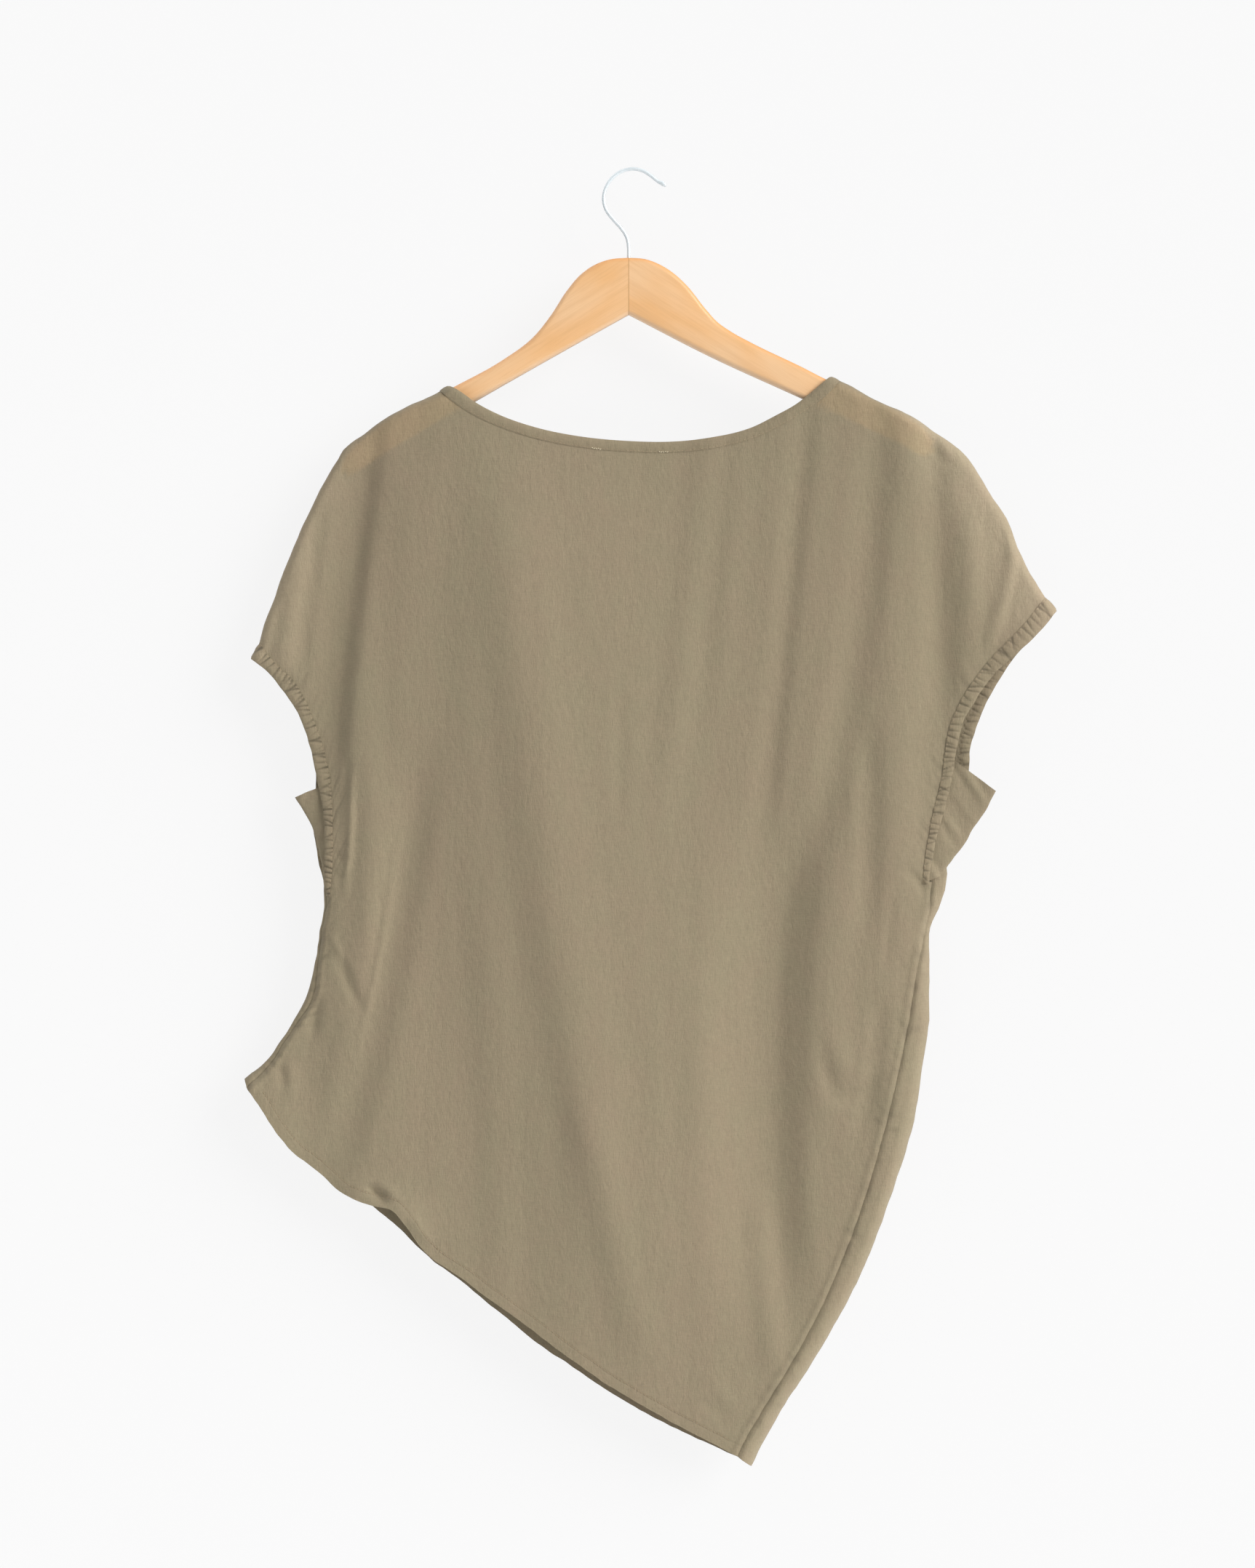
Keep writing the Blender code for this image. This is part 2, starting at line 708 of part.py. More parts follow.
def panel_columns():
    """The columns' u, the same on both panels, and the indices of the two neck corners."""
    left_run, neck_run, right_run = top_edge(BACK)
    left = shoulder_columns(left_run, SHOULDER_PIECES)
    neck = spread(neck_run[0, 0], neck_run[-1, 0], NECK_COLUMNS, NECK_EASE, NECK_EASE)
    right = shoulder_columns(right_run, SHOULDER_PIECES)
    left.insert(1, TOP_LEFT_X + TIP_EASE)
    right.insert(-1, TOP_RIGHT_X - TIP_EASE)
    places = np.array(left + neck[1:] + right[1:])
    u = (places - TOP_LEFT_X) / (TOP_RIGHT_X - TOP_LEFT_X)
    return u, len(left) - 1, len(left) + len(neck) - 2


def panel_rows():
    """The rows' v, and the index of the armholes' last row."""
    above = spread(0, UNDERARM, ARMHOLE_ROWS, ease_start=(0.004, 0.014), ease_end=(0.013, 0.026))
    below = spread(NOTCH, 1, BODY_ROWS, ease_start=(0.008,), ease_end=(0.016,))
    return np.array(above + below), len(above) - 1


def hem_walls(columns, rows):
    """A panel's wall, thicker over the turned-up hem."""
    thick = np.full((columns, rows), CLOTH_WALL)
    thick[:, -2:] = HEM_WALL
    return thick


def make_back_panel(columns, rows, material):
    points, outward = grid(back_surface, columns, rows, notched=True)
    faces = cells(len(columns), len(rows))
    thick = hem_walls(len(columns), len(rows))
    make_wall("back_panel", points, outward, faces, thick, material)


def make_front_panel(columns, rows, last_armhole, material):
    wrapped = np.array([0.1, 0.42, 1.0])
    us = np.concatenate([-wrapped[::-1], columns, 1 + wrapped])
    points, outward = grid(front_surface, us, rows, notched=True)
    first = len(wrapped)
    last = first + len(columns) - 1

    def keep(i, j):
        return first <= i < last or j > last_armhole

    faces = cells(len(us), len(rows), keep)
    thick = hem_walls(len(us), len(rows))
    make_wall("front_panel", points, outward, faces, thick, material)


def lay_band(edge, seam, share, gap=SEAM_GAP):
    """A binding's point between its seam, parted by the gap, and its outer edge."""
    inner = seam + gap * unit(edge - seam)
    return inner + (edge - inner) * share


def make_neck_binding(columns, corners, material):
    """One ring along the back neckline and round again along the front's."""
    first, last = corners
    seam_x = TOP_LEFT_X + columns[first : last + 1] * (TOP_RIGHT_X - TOP_LEFT_X)
    ring = []
    directions = []
    for side in (BACK, FRONT):
        neck = neck_of(side)
        places = chord_places(neck["seam_x"], neck["seam_z"])
        fine = np.linspace(0, 1, 400)
        at = np.interp(seam_x, spline(places, neck["seam_x"], fine), fine)

        def band(s, share):
            s = np.clip(s, 0, 1)
            seam = np.stack([spline(places, neck["seam_" + axis], s) for axis in "xz"], axis=-1)
            edge = np.stack([spline(places, neck["edge_" + axis], s) for axis in "xz"], axis=-1)
            return stand(side, lay_band(edge, seam, np.clip(share, 0, 1)[..., None]), 0.0)

        points, outward = grid(band, at, BINDING_SHARES, turn=side)
        points[[0, -1], :, 1] = 0.0
        outward[[0, -1], :, 1] = 0.0
        outward = unit(outward)
        order = slice(None) if side == BACK else slice(-2, 0, -1)
        ring.append(points[order])
        directions.append(outward[order])
    points = np.concatenate(ring)
    outward = np.concatenate(directions)
    faces = cells(len(points), len(BINDING_SHARES), loop=True)
    make_wall("neck_binding", points, outward, faces, BINDING_WALL, material)


def make_armhole_binding(name, end, rows, material):
    """One strip up the back of an armhole, over the sleeve's tip and down the front."""
    strip = []
    directions = []
    for side in (BACK, FRONT):

        def band(v, share):
            v = np.clip(v, 0, UNDERARM)
            seam = armhole_point(side, end, "seam", v)
            edge = armhole_point(side, end, "edge", v)
            near_end = smooth(1 - np.minimum(v, UNDERARM - v) / END_GAP_OVER)
            gap = SEAM_GAP + (END_GAP - SEAM_GAP) * near_end[..., None]
            return stand(side, lay_band(edge, seam, np.clip(share, 0, 1)[..., None], gap), 0.0)

        points, outward = grid(band, rows, BINDING_SHARES, turn=side * (1 if end else -1))
        points[0, :, 1] = 0.0
        outward[0, :, 1] = 0.0
        outward = unit(outward)
        order = slice(None, None, -1) if side == BACK else slice(1, None)
        strip.append(points[order])
        directions.append(outward[order])
    points = np.concatenate(strip)
    outward = np.concatenate(directions)
    faces = cells(len(points), len(BINDING_SHARES))
    make_wall(name, points, outward, faces, BINDING_WALL, material)


def make_gusset(name, end, outer, material):
    """A folded insert from behind the back binding, out to its fold and back to the front binding."""
    clear = (CLOTH_WALL + BINDING_WALL) / 2 + 2 * SEAM_GAP
    shares = np.array([0.0, 0.3, 0.62, 0.86, 0.97, 1.0])
    rows = np.linspace(GUSSET_TOPS[end], GUSSET_LOW, GUSSET_ROWS)
    fold = along(outer["x"], outer["z"], np.linspace(0, 1, GUSSET_ROWS))
    layers = []
    for side in (BACK, FRONT):
        seam = armhole_point(side, end, "seam", rows)
        edge = armhole_point(side, end, "edge", rows)
        sewn = seam + (edge - seam) * SEWN_SHARE
        flat = sewn[:, None] + (fold - sewn)[:, None] * shares[None, :, None]
        inside = reach(side, sewn)[:, None] - clear - GUSSET_FOLD_HALF
        y = inside * (1 - shares) + GUSSET_FOLD_HALF * quarter_round(1 - shares, GUSSET_FOLD_SHARE)
        layer = np.stack([flat[..., 0], side * y, flat[..., 1]], axis=-1)
        layers.append(layer if side == BACK else layer[:, -2::-1])
    points = np.concatenate(layers, axis=1)
    across = np.gradient(points, axis=1)
    down = np.gradient(points, axis=0)
    outward = unit(np.cross(across, down))
    faces = cells(GUSSET_ROWS, points.shape[1])
    make_wall(name, points, outward, faces, CLOTH_WALL, material)


def inset(outline, depth):
    """The outline moved in by depth, its two ends staying on the joint's plane."""
    before = unit(outline - np.roll(outline, 1, axis=0))
    after = unit(np.roll(outline, -1, axis=0) - outline)
    turned = unit(before + after)
    normal = np.stack([turned[:, 1], -turned[:, 0]], axis=-1)
    stretch = 1 / np.maximum((normal * np.stack([after[:, 1], -after[:, 0]], axis=-1)).sum(1), 0.5)
    area = (outline[:, 0] * np.roll(outline[:, 1], -1) - np.roll(outline[:, 0], -1) * outline[:, 1]).sum()
    moved = outline - np.sign(area) * normal * depth * stretch[:, None]
    moved[[0, -1]] = outline[[0, -1]] + [[0, -depth], [0, depth]]
    return moved


def make_hanger_half(name, end, shape, material):
    """Half of the hanger: its outline with rounded edges, and half of the hook's socket cut in."""
    joint_x = JOINT_X + (SEAM_GAP / 2 if end else -SEAM_GAP / 2)
    x = np.concatenate([[joint_x], shape["x"], [joint_x]])
    z = np.concatenate([[JOINT_TOP_Z], shape["z"], [JOINT_LOW_Z]])
    outline = along(x, z, np.linspace(0, 1, 46))
    turns = np.radians([90, 60, 30, 0])
    flat_half = WOOD_THICK / 2 - WOOD_ROUND
    levels = [(-flat_half - WOOD_ROUND * np.sin(t), WOOD_ROUND * (1 - np.cos(t))) for t in turns]
    levels += [(-y, depth) for y, depth in reversed(levels)]
    loops = []
    for y, depth in levels:
        flat = inset(outline, depth)
        loops.append(np.stack([flat[:, 0], np.full(len(flat), y), flat[:, 1]], axis=-1))
    count = len(outline)
    last = (len(loops) - 1) * count
    faces = [tuple(range(count)), tuple(reversed(range(last, last + count)))]
    for level in range(len(loops) - 1):
        for k in range(count):
            low = level * count + k
            side = level * count + (k + 1) % count
            faces.append((low, low + count, side + count, side))
    half = make_object(name, np.concatenate(loops), faces, material)
    cut = half.modifiers.new("socket", "BOOLEAN")
    cut.object = bpy.data.objects["socket_cutter"]


def make_socket_cutter(material):
    """The drilled hole for the hook's stem."""
    radius = WIRE_RADIUS + SEAM_GAP
    sides = 16
    turn = np.linspace(0, 2 * np.pi, sides, endpoint=False) + np.pi / sides
    ring = np.stack([JOINT_X + radius * np.cos(turn), radius * np.sin(turn)], axis=-1)
    low = np.column_stack([ring, np.full(sides, JOINT_TOP_Z - SOCKET_DEPTH)])
    high = np.column_stack([ring, np.full(sides, JOINT_TOP_Z + 5)])
    faces = [tuple(reversed(range(sides))), tuple(range(sides, 2 * sides))]
    faces += [(k, (k + 1) % sides, (k + 1) % sides + sides, k + sides) for k in range(sides)]
    cutter = make_object("socket_cutter", np.concatenate([low, high]), faces, material)
    cutter.hide_render = True
    cutter.display_type = "WIRE"


def make_hook(material):
    """The hook as one bent wire, with a rounded tip."""
    x = np.append(HOOK["x"], JOINT_X)
    z = np.append(HOOK["z"], JOINT_TOP_Z - SOCKET_DEPTH + SEAM_GAP)
    swell = np.append(HOOK["swell"], 1.0)
    places = chord_places(x, z)
    at = np.unique(np.round(np.concatenate([places[:4], np.linspace(places[3], 1, 54)]), 6))
    curve = bpy.data.curves.new("hook", "CURVE")
    curve.dimensions = "3D"
    curve.bevel_depth = WIRE_RADIUS * MM
    curve.bevel_resolution = 2
    curve.use_fill_caps = True
    line = curve.splines.new("POLY")
    line.points.add(len(at) - 1)
    for point, place in zip(line.points, at):
        point.co = (spline(places, x, place) * MM, 0.0, spline(places, z, place) * MM, 1.0)
        point.radius = float(np.interp(place, places, swell))
    curve.materials.append(material)
    hook = bpy.data.objects.new("hook", curve)
    bpy.context.collection.objects.link(hook)


def main():
    for old in list(bpy.data.objects):
        bpy.data.objects.remove(old)
    cloth = plain_material("crinkled_cloth", (0.31, 0.26, 0.18), 0.85)
    binding = plain_material("bias_binding", (0.29, 0.24, 0.165), 0.85)
    wood = plain_material("hanger_wood", (0.80, 0.48, 0.21), 0.45)
    wire = plain_material("hook_wire", (0.78, 0.80, 0.82), 0.25, 1.0)

    columns, neck_left, neck_right = panel_columns()
    rows, last_armhole = panel_rows()
    make_back_panel(columns, rows, cloth)
    make_front_panel(columns, rows, last_armhole, cloth)
    make_neck_binding(columns, (neck_left, neck_right), binding)
    armhole_rows = rows[:last_armhole]
    for end, word, outer in ((0, "left", GUSSET_LEFT), (1, "right", GUSSET_RIGHT)):
        make_armhole_binding("armhole_binding_" + word, end, armhole_rows, binding)
        make_gusset("underarm_gusset_" + word, end, outer, cloth)
    make_socket_cutter(wood)
    make_hanger_half("hanger_half_left", 0, WOOD_LEFT, wood)
    make_hanger_half("hanger_half_right", 1, WOOD_RIGHT, wood)
    make_hook(wire)


main()
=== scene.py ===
"""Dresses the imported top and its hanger: thin cloth with its folds, puckered bindings, sewing, wood and wire.

The frame is the CAD's: X to the right as the garment's back is seen, Z up, the back facing -Y, with the
origin inside the hook's bend. Sizes and tables are in millimetres, and become metres when a mesh is made.
The tables of the outline repeat the part's.
"""

import bpy
import numpy as np
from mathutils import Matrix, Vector


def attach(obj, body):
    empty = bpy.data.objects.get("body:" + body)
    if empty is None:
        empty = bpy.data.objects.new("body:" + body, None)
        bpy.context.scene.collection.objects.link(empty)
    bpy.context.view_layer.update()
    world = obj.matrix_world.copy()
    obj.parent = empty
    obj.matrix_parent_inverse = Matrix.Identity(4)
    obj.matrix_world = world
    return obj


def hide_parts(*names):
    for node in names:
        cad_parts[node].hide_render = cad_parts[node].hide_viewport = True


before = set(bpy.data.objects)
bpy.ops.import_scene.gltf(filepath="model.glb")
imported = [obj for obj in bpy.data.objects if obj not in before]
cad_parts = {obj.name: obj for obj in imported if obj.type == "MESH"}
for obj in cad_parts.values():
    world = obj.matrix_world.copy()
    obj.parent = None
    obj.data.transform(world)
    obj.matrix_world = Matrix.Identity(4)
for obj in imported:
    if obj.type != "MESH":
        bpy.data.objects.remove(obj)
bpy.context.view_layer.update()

MM = 0.001
BACK, FRONT = -1, 1

# The cloth's thickness, alone, as a binding and in the turned hem. The hem's depth, where it is sewn, and
# the width of its step.
CLOTH_WALL = 0.5
BINDING_WALL = 0.45
HEM_WALL = 1.1
HEM_DEPTH = 8.4
HEM_SEWN_AT = HEM_DEPTH - 0.4
HEM_STEP = 2.5

# The rows near the hem that measure how far they are from it. All others count as far.
HEM_ROWS = 30
FAR_FROM_HEM = 40.0

# How far the cloth stands from the middle plane: over the hanger's arms, in the sleeves, in the body.
ARM_REACH = 7.6
SLEEVE_REACH = 5.6
BODY_REACH = 12.0
SHOULDER_ROUND = 6.5
SIDE_ROUND = 11.0
BODY_FROM_Z = -200.0
BODY_OVER_Z = 220.0
SLEEVE_FROM_X = 185.0
SLEEVE_OVER_X = 55.0
SLEEVE_FROM_Z = -205.0
SLEEVE_OVER_Z = 60.0
FOLD_FADE = 0.25
FRONT_NECK_DROP = 14.0

# The least height of the cloth's middle over the hanger, and how softly the wood's edge shows in its colour.
OVER_WOOD = 6.3
WOOD_SHADOW = 3.0

# The dip along the back's side seams and the ridge beside it.
SEAM_GAP = 0.2
SEAM_DIP = 0.45
SEAM_DIP_WIDTH = 1.3
SEAM_RIDGE = 0.8
SEAM_RIDGE_AT = 3.2
SEAM_RIDGE_WIDTH = 1.8

# A panel's v is 0 along its top and 1 at its hem. The armholes end at UNDERARM, the sides start at NOTCH.
UNDERARM = 0.40
NOTCH = 0.404

# A panel's grid: its columns and rows, and how far from NOTCH and how often its points are evened out.
SHOULDER_COLUMNS = 64
NECK_COLUMNS = 70
ARMHOLE_ROWS = 128
BODY_ROWS = 90
EVEN_OVER = 0.05
EVEN_ROUNDS = 60
EDGE_HALF = 0.08
EDGE_WOBBLE = 0.3

# The front panel's wrap round each side fold: its columns' shares of the way to the seam, how far it lies
# under the back panel there, and how its top runs up and in behind the gusset.
WRAP_SHARES = (0.05, 0.14, 0.26, 0.4, 0.54, 0.68, 0.8, 0.91, 1.0)
WRAP_DROP = 0.5
WRAP_LIFT = 6.0
WRAP_LIFT_OVER = 0.03
WRAP_TUCK = 0.8
WRAP_TUCK_OVER = 0.028

# The small creases: half their width on a panel and on a binding, a panel's share of a binding's, the columns
# and the v over which they fade out, and the depth at which their painted crease shade is darkest and how dark
# that painted shade is.
PANEL_PUCKER = 2.1
BAND_PUCKER = 0.85
PANEL_SHARE = 0.3
PUCKER_COLUMNS = 60
PUCKER_FADE = 0.02
PUCKER_FROM_Y = 1.0
PUCKER_OVER_Y = 2.5
DEEP_PUCKER = 0.9
CREASE_SHADE = 0.5

# A binding's cross places from its seam to its outer edge, the half gap between its layers there, and
# which place is sewn. Toward the underarm an armhole's binding is narrower.
BAND_ACROSS = np.array([-0.12, 0.02, 0.25, 0.55, 0.84, 1.0])
BAND_HALF = np.array([0.34, 0.50, 0.78, 0.84, 0.62, 0.0])
BAND_LEAST = 0.12
SEWN_AT = 1
BAND_NARROWED = 0.7
BAND_TAPER = 0.04
BAND_CRUMPLE = 0.2
NECK_BAND_DEPTH = 7.0
NECK_PLACES = 330
ARMHOLE_PLACES = 400

# The gussets' tops and low end by v, how far into the binding they are sewn, and their folded edge.
GUSSET_TOPS = (0.235, 0.24)
GUSSET_LOW = 0.4036
GUSSET_TUCK = 0.035
SEWN_SHARE = 0.1
GUSSET_FOLD_HALF = 1.1
GUSSET_FOLD_SHARE = 0.14
GUSSET_CLEAR = 1.2
GUSSET_LEAST = 3.0
GUSSET_ROWS = 48
GUSSET_RUMPLE = 1.1
GUSSET_SLANTS = (-1.4, 1.5)

# Where the gussets' folded edges end, under the top of the side folds.
GUSSET_ENDS = ((-221.6, -533.0), (236.0, -518.0))

# Sewing: a stitch's length, the pitch of stitches and the thread's radius, and the two groups of tack
# stitches on the back neckline, by x.
STITCH = 2.1
STITCH_PITCH = 2.9
THREAD_RADIUS = 0.21
TACKS = ((-25.2, -17.4), (24.1, 31.6))
TACK_PLACES = 12

WOOD_THICK = 11.0
WOOD_ROUND = 3.6
JOINT_X = 2.2
JOINT_TOP_Z = -64.3
JOINT_LOW_Z = -106.1
ARM_SLOPE = np.radians(32.0)
WIRE_RADIUS = 1.35
SOCKET_DEPTH = 26.0
TIP_END_ROW = 3
SHARP_DEGREES = 55

# The photograph's frame and scale: its pixel across the hook's middle plane, and the row's origin in it.
PHOTO_WIDTH = 1725
PHOTO_HEIGHT = 2156
PIXEL = 0.536
ORIGIN_PIXEL = (860.0, 235.0)
CAMERA_DISTANCE = 2500.0

WALL_Y = 32.0
WALL_HALF = 1300
WALL_TOP = 700
FLOOR_HALF = 3000
FLOOR_Z = -1400.0

CLOTH_GREENER = (0.281, 0.236, 0.150, 1.0)
CLOTH_PINKER = (0.291, 0.231, 0.151, 1.0)
BINDING_GREENER = (0.275, 0.229, 0.144, 1.0)
BINDING_PINKER = (0.284, 0.225, 0.146, 1.0)
THREAD_COLOUR = (0.34, 0.26, 0.165, 1.0)
TACK_COLOUR = (0.72, 0.64, 0.46, 1.0)
WOOD_PALE = (0.90, 0.58, 0.32, 1.0)
WOOD_WARM = (0.88, 0.50, 0.22, 1.0)
WOOD_GRAIN = (0.68, 0.36, 0.15, 1.0)
PAINTED_TOP_EDGE_SHADE = (0.80, 0.36, 0.11, 1.0)
PAINTED_LOW_BEVEL_LIGHT = (0.95, 0.70, 0.48, 1.0)
WOOD_JOINT = (0.50, 0.24, 0.08, 1.0)
WIRE_BRIGHT = (0.86, 0.93, 0.97, 1.0)
WIRE_DULL = (0.78, 0.86, 0.90, 1.0)
WALL_COLOUR = (0.09, 0.09, 0.091, 1.0)
FLOOR_COLOUR = (0.88, 0.88, 0.88, 1.0)
WHITE = (1.0, 1.0, 1.0, 1.0)

# How the cloth's colour changes over the hanger, where the wood shows through with painted light added on the
# shoulders, and the painted light at the sleeves' outer edges and the right side that stands for light through
# the thin cloth: how far in from the shoulders and the right side it reaches, and how strong it is.
WOOD_SHOW_AND_PAINTED_LIGHT_TINT = (1.17, 1.09, 1.01, 1.0)
PAINTED_EDGE_LIGHT_TINT = (1.44, 1.43, 1.50, 1.0)
EDGE_GLOW = 60.0
RIM_GLOW = 12.0
RIGHT_GLOW = 1.8
LEFT_GLOW = 0.6
SIDE_GLOW = 0.4

ROOM_LIGHT = 0.32
ROOM_SEEN = 0.93
WALL_GLOW = 0.86
KEY_LIGHT = 3.25
TOP_LIGHT = 0.8
BACK_LIGHT = 1.0


def table(columns, *rows):
    """Named columns of numbers from short rows."""
    return dict(zip(columns.split(), np.array(rows, float).T))


# The shoulder folds, from the sleeve's tip to the neck point.
SHOULDER_LEFT = table(
    "x z",
    (-276, -359.1),
    (-270, -349.5),
    (-266.2, -334),
    (-259.2, -316.2),
    (-250.3, -291.3),
    (-241.4, -270),
    (-230.7, -246.9),
    (-216.5, -220.3),
    (-204.2, -202.4),
    (-191.6, -193.5),
    (-177.4, -182.8),
    (-160.8, -173.7),
    (-142, -165.6),
    (-130.2, -158.7),
)
SHOULDER_RIGHT = table(
    "x z",
    (317.3, -324),
    (309.5, -315.6),
    (299.1, -298.8),
    (291, -283.5),
    (280.3, -256.2),
    (269.9, -240.7),
    (259.4, -223),
    (250.8, -210.6),
    (239.1, -200.5),
    (227.3, -193),
    (214.4, -183.2),
    (186, -169.9),
    (165.6, -159.2),
    (150.6, -152),
)

# The back neckline and the stitch line of its binding, from left to right.
NECK_BACK = table(
    "edge_x edge_z seam_x seam_z",
    (-130.2, -158.7, -136.1, -162.1),
    (-121.7, -163.8, -127, -169.9),
    (-109, -172.8, -113, -179.4),
    (-91.7, -181.7, -94.5, -188.3),
    (-64.9, -190.8, -66.5, -197.6),
    (-32.2, -197.2, -33, -204.1),
    (0, -200.1, 0, -207),
    (32.2, -200.6, 32.4, -207.6),
    (64.3, -197.2, 65.6, -204.2),
    (92.7, -190, 95.6, -196.4),
    (110.4, -181.2, 113.8, -187.6),
    (124.9, -173.1, 129.5, -178.6),
    (141, -160.3, 146.4, -166),
    (150.6, -152, 156.8, -154.9),
)

# Each armhole and the stitch line of its binding, from the sleeve's tip down to the underarm.
ARMHOLE_LEFT_BACK = table(
    "edge_x edge_z seam_x seam_z",
    (-276, -359.1, -270, -349.5),
    (-264.8, -367.4, -258.8, -362.9),
    (-251.9, -383.2, -244.6, -377),
    (-240.1, -400.7, -233, -397.6),
    (-232.1, -425, -224.3, -422.6),
    (-225.4, -454, -217.4, -452.4),
    (-221.6, -476, -215.8, -475.5),
    (-220.8, -492, -215.4, -492),
    (-221.2, -514, -216, -514),
    (-221.8, -533, -217.4, -533),
)
ARMHOLE_LEFT_FRONT = table(
    "edge_x edge_z seam_x seam_z",
    (-276, -359.1, -270, -349.5),
    (-263.5, -368, -257.5, -363.6),
    (-250, -384.5, -243, -378.6),
    (-238.5, -402, -231.2, -398.8),
    (-231, -426, -223.2, -423.8),
    (-228.3, -450, -220.4, -449.4),
    (-229.6, -468, -222, -468),
    (-230.3, -484, -223.4, -484),
    (-227.9, -500, -221.6, -500),
    (-225.4, -515, -219.6, -515),
    (-222.4, -532, -217.4, -532),
)
ARMHOLE_RIGHT_BACK = table(
    "edge_x edge_z seam_x seam_z",
    (317.3, -324, 309.5, -315.6),
    (303.4, -340.4, 297, -331.9),
    (288.4, -354.3, 282.4, -346.4),
    (271.2, -370.4, 263.8, -366.4),
    (258.9, -387.3, 250, -386),
    (249.8, -402.5, 241.9, -402),
    (243.9, -422.9, 236.8, -421.5),
    (239.6, -448.1, 232.9, -448),
    (233.2, -475.4, 226.6, -474),
    (228.3, -492, 222.9, -492),
    (225.3, -510, 219.9, -510),
    (224, -522.3, 218.4, -522.3),
)
ARMHOLE_RIGHT_FRONT = table(
    "edge_x edge_z seam_x seam_z",
    (317.3, -324, 309.5, -315.6),
    (303.4, -341, 296.6, -332.8),
    (291, -353, 284, -346.6),
    (278.2, -370.4, 270.8, -366),
    (266.9, -390.7, 259, -388),
    (261.6, -403.3, 253.7, -401.4),
    (257.8, -413.8, 250, -412.6),
    (254.4, -426.7, 246.8, -426),
    (253, -441.7, 245.6, -441.7),
    (249.5, -470, 242.3, -469.4),
    (244, -498, 237.5, -497),
    (237.2, -516, 231, -515.6),
)

# Each side below the underarm: the fold that makes the outline, and the seam that joins the front
# panel, wrapped round that fold, to the back panel.
SIDE_LEFT = table(
    "fold_x fold_z seam_x seam_z",
    (-222.2, -533.4, -220, -534.6),
    (-222.5, -546.5, -221, -546.8),
    (-224.6, -558.5, -223, -558.8),
    (-228.6, -583.7, -226.2, -584.2),
    (-235.3, -608.4, -230.4, -610.2),
    (-243.4, -625, -240.6, -626.8),
    (-252.4, -639.2, -250.4, -640.8),
    (-265, -656.4, -262.2, -658.8),
    (-280.5, -669.7, -278.4, -675.8),
)
SIDE_RIGHT = table(
    "fold_x fold_z seam_x seam_z",
    (236.9, -518, 224.6, -523.6),
    (235.4, -528, 224.1, -531),
    (230.4, -543.4, 223.2, -545),
    (224.6, -556.4, 220.6, -558),
    (223.4, -580, 215.6, -581),
    (222.7, -632.7, 206.8, -632.7),
    (218.2, -661.2, 201.2, -659),
    (212.8, -697.3, 193.4, -692.5),
    (199.7, -741.8, 181.4, -736.5),
    (180.9, -794.6, 164, -787.5),
    (156.5, -845.3, 143.5, -836.2),
    (137.8, -877.4, 125.4, -869.5),
    (120.6, -903.7, 107.2, -900.2),
    (102.1, -935.3, 91.6, -926),
    (92.6, -953.7, 81.6, -944.9),
)

# The hems, from left to right.
HEM_BACK = table(
    "x z",
    (-278.4, -675.8),
    (-270.7, -685.9),
    (-255.1, -709.7),
    (-245, -721.8),
    (-229.6, -733.8),
    (-204.2, -754.2),
    (-186.5, -761.1),
    (-171.5, -764.3),
    (-162.9, -773.8),
    (-147.9, -794.4),
    (-122.2, -813.1),
    (-86.3, -839.4),
    (-53.6, -863),
    (-22.5, -885.8),
    (5.4, -903.2),
    (37.8, -921.7),
    (65.2, -936.1),
    (81.6, -944.9),
)
HEM_FRONT = table(
    "x z",
    (-280.5, -669.7),
    (-277.6, -677.6),
    (-270.7, -687),
    (-255.1, -710.5),
    (-229.6, -735),
    (-204.2, -755),
    (-186.5, -765),
    (-173.4, -776),
    (-149, -799.5),
    (-124.4, -818),
    (-96.5, -840.5),
    (-65.9, -865),
    (-40.7, -882.5),
    (-13.1, -901),
    (14.5, -917.5),
    (50.2, -935),
    (76.1, -947),
    (92.6, -953.7),
)

# The outer fold of each underarm gusset, from its top corner down.
GUSSET_LEFT = table(
    "x z",
    (-243.3, -461.5),
    (-236.8, -472.4),
    (-230.5, -484),
    (-226.6, -498),
    (-223.4, -512),
    (-222.6, -522),
)
GUSSET_RIGHT = table(
    "x z",
    (272.8, -457),
    (265.3, -470.6),
    (256, -484.6),
    (249.6, -496),
    (241.2, -507.4),
    (236, -515),
)


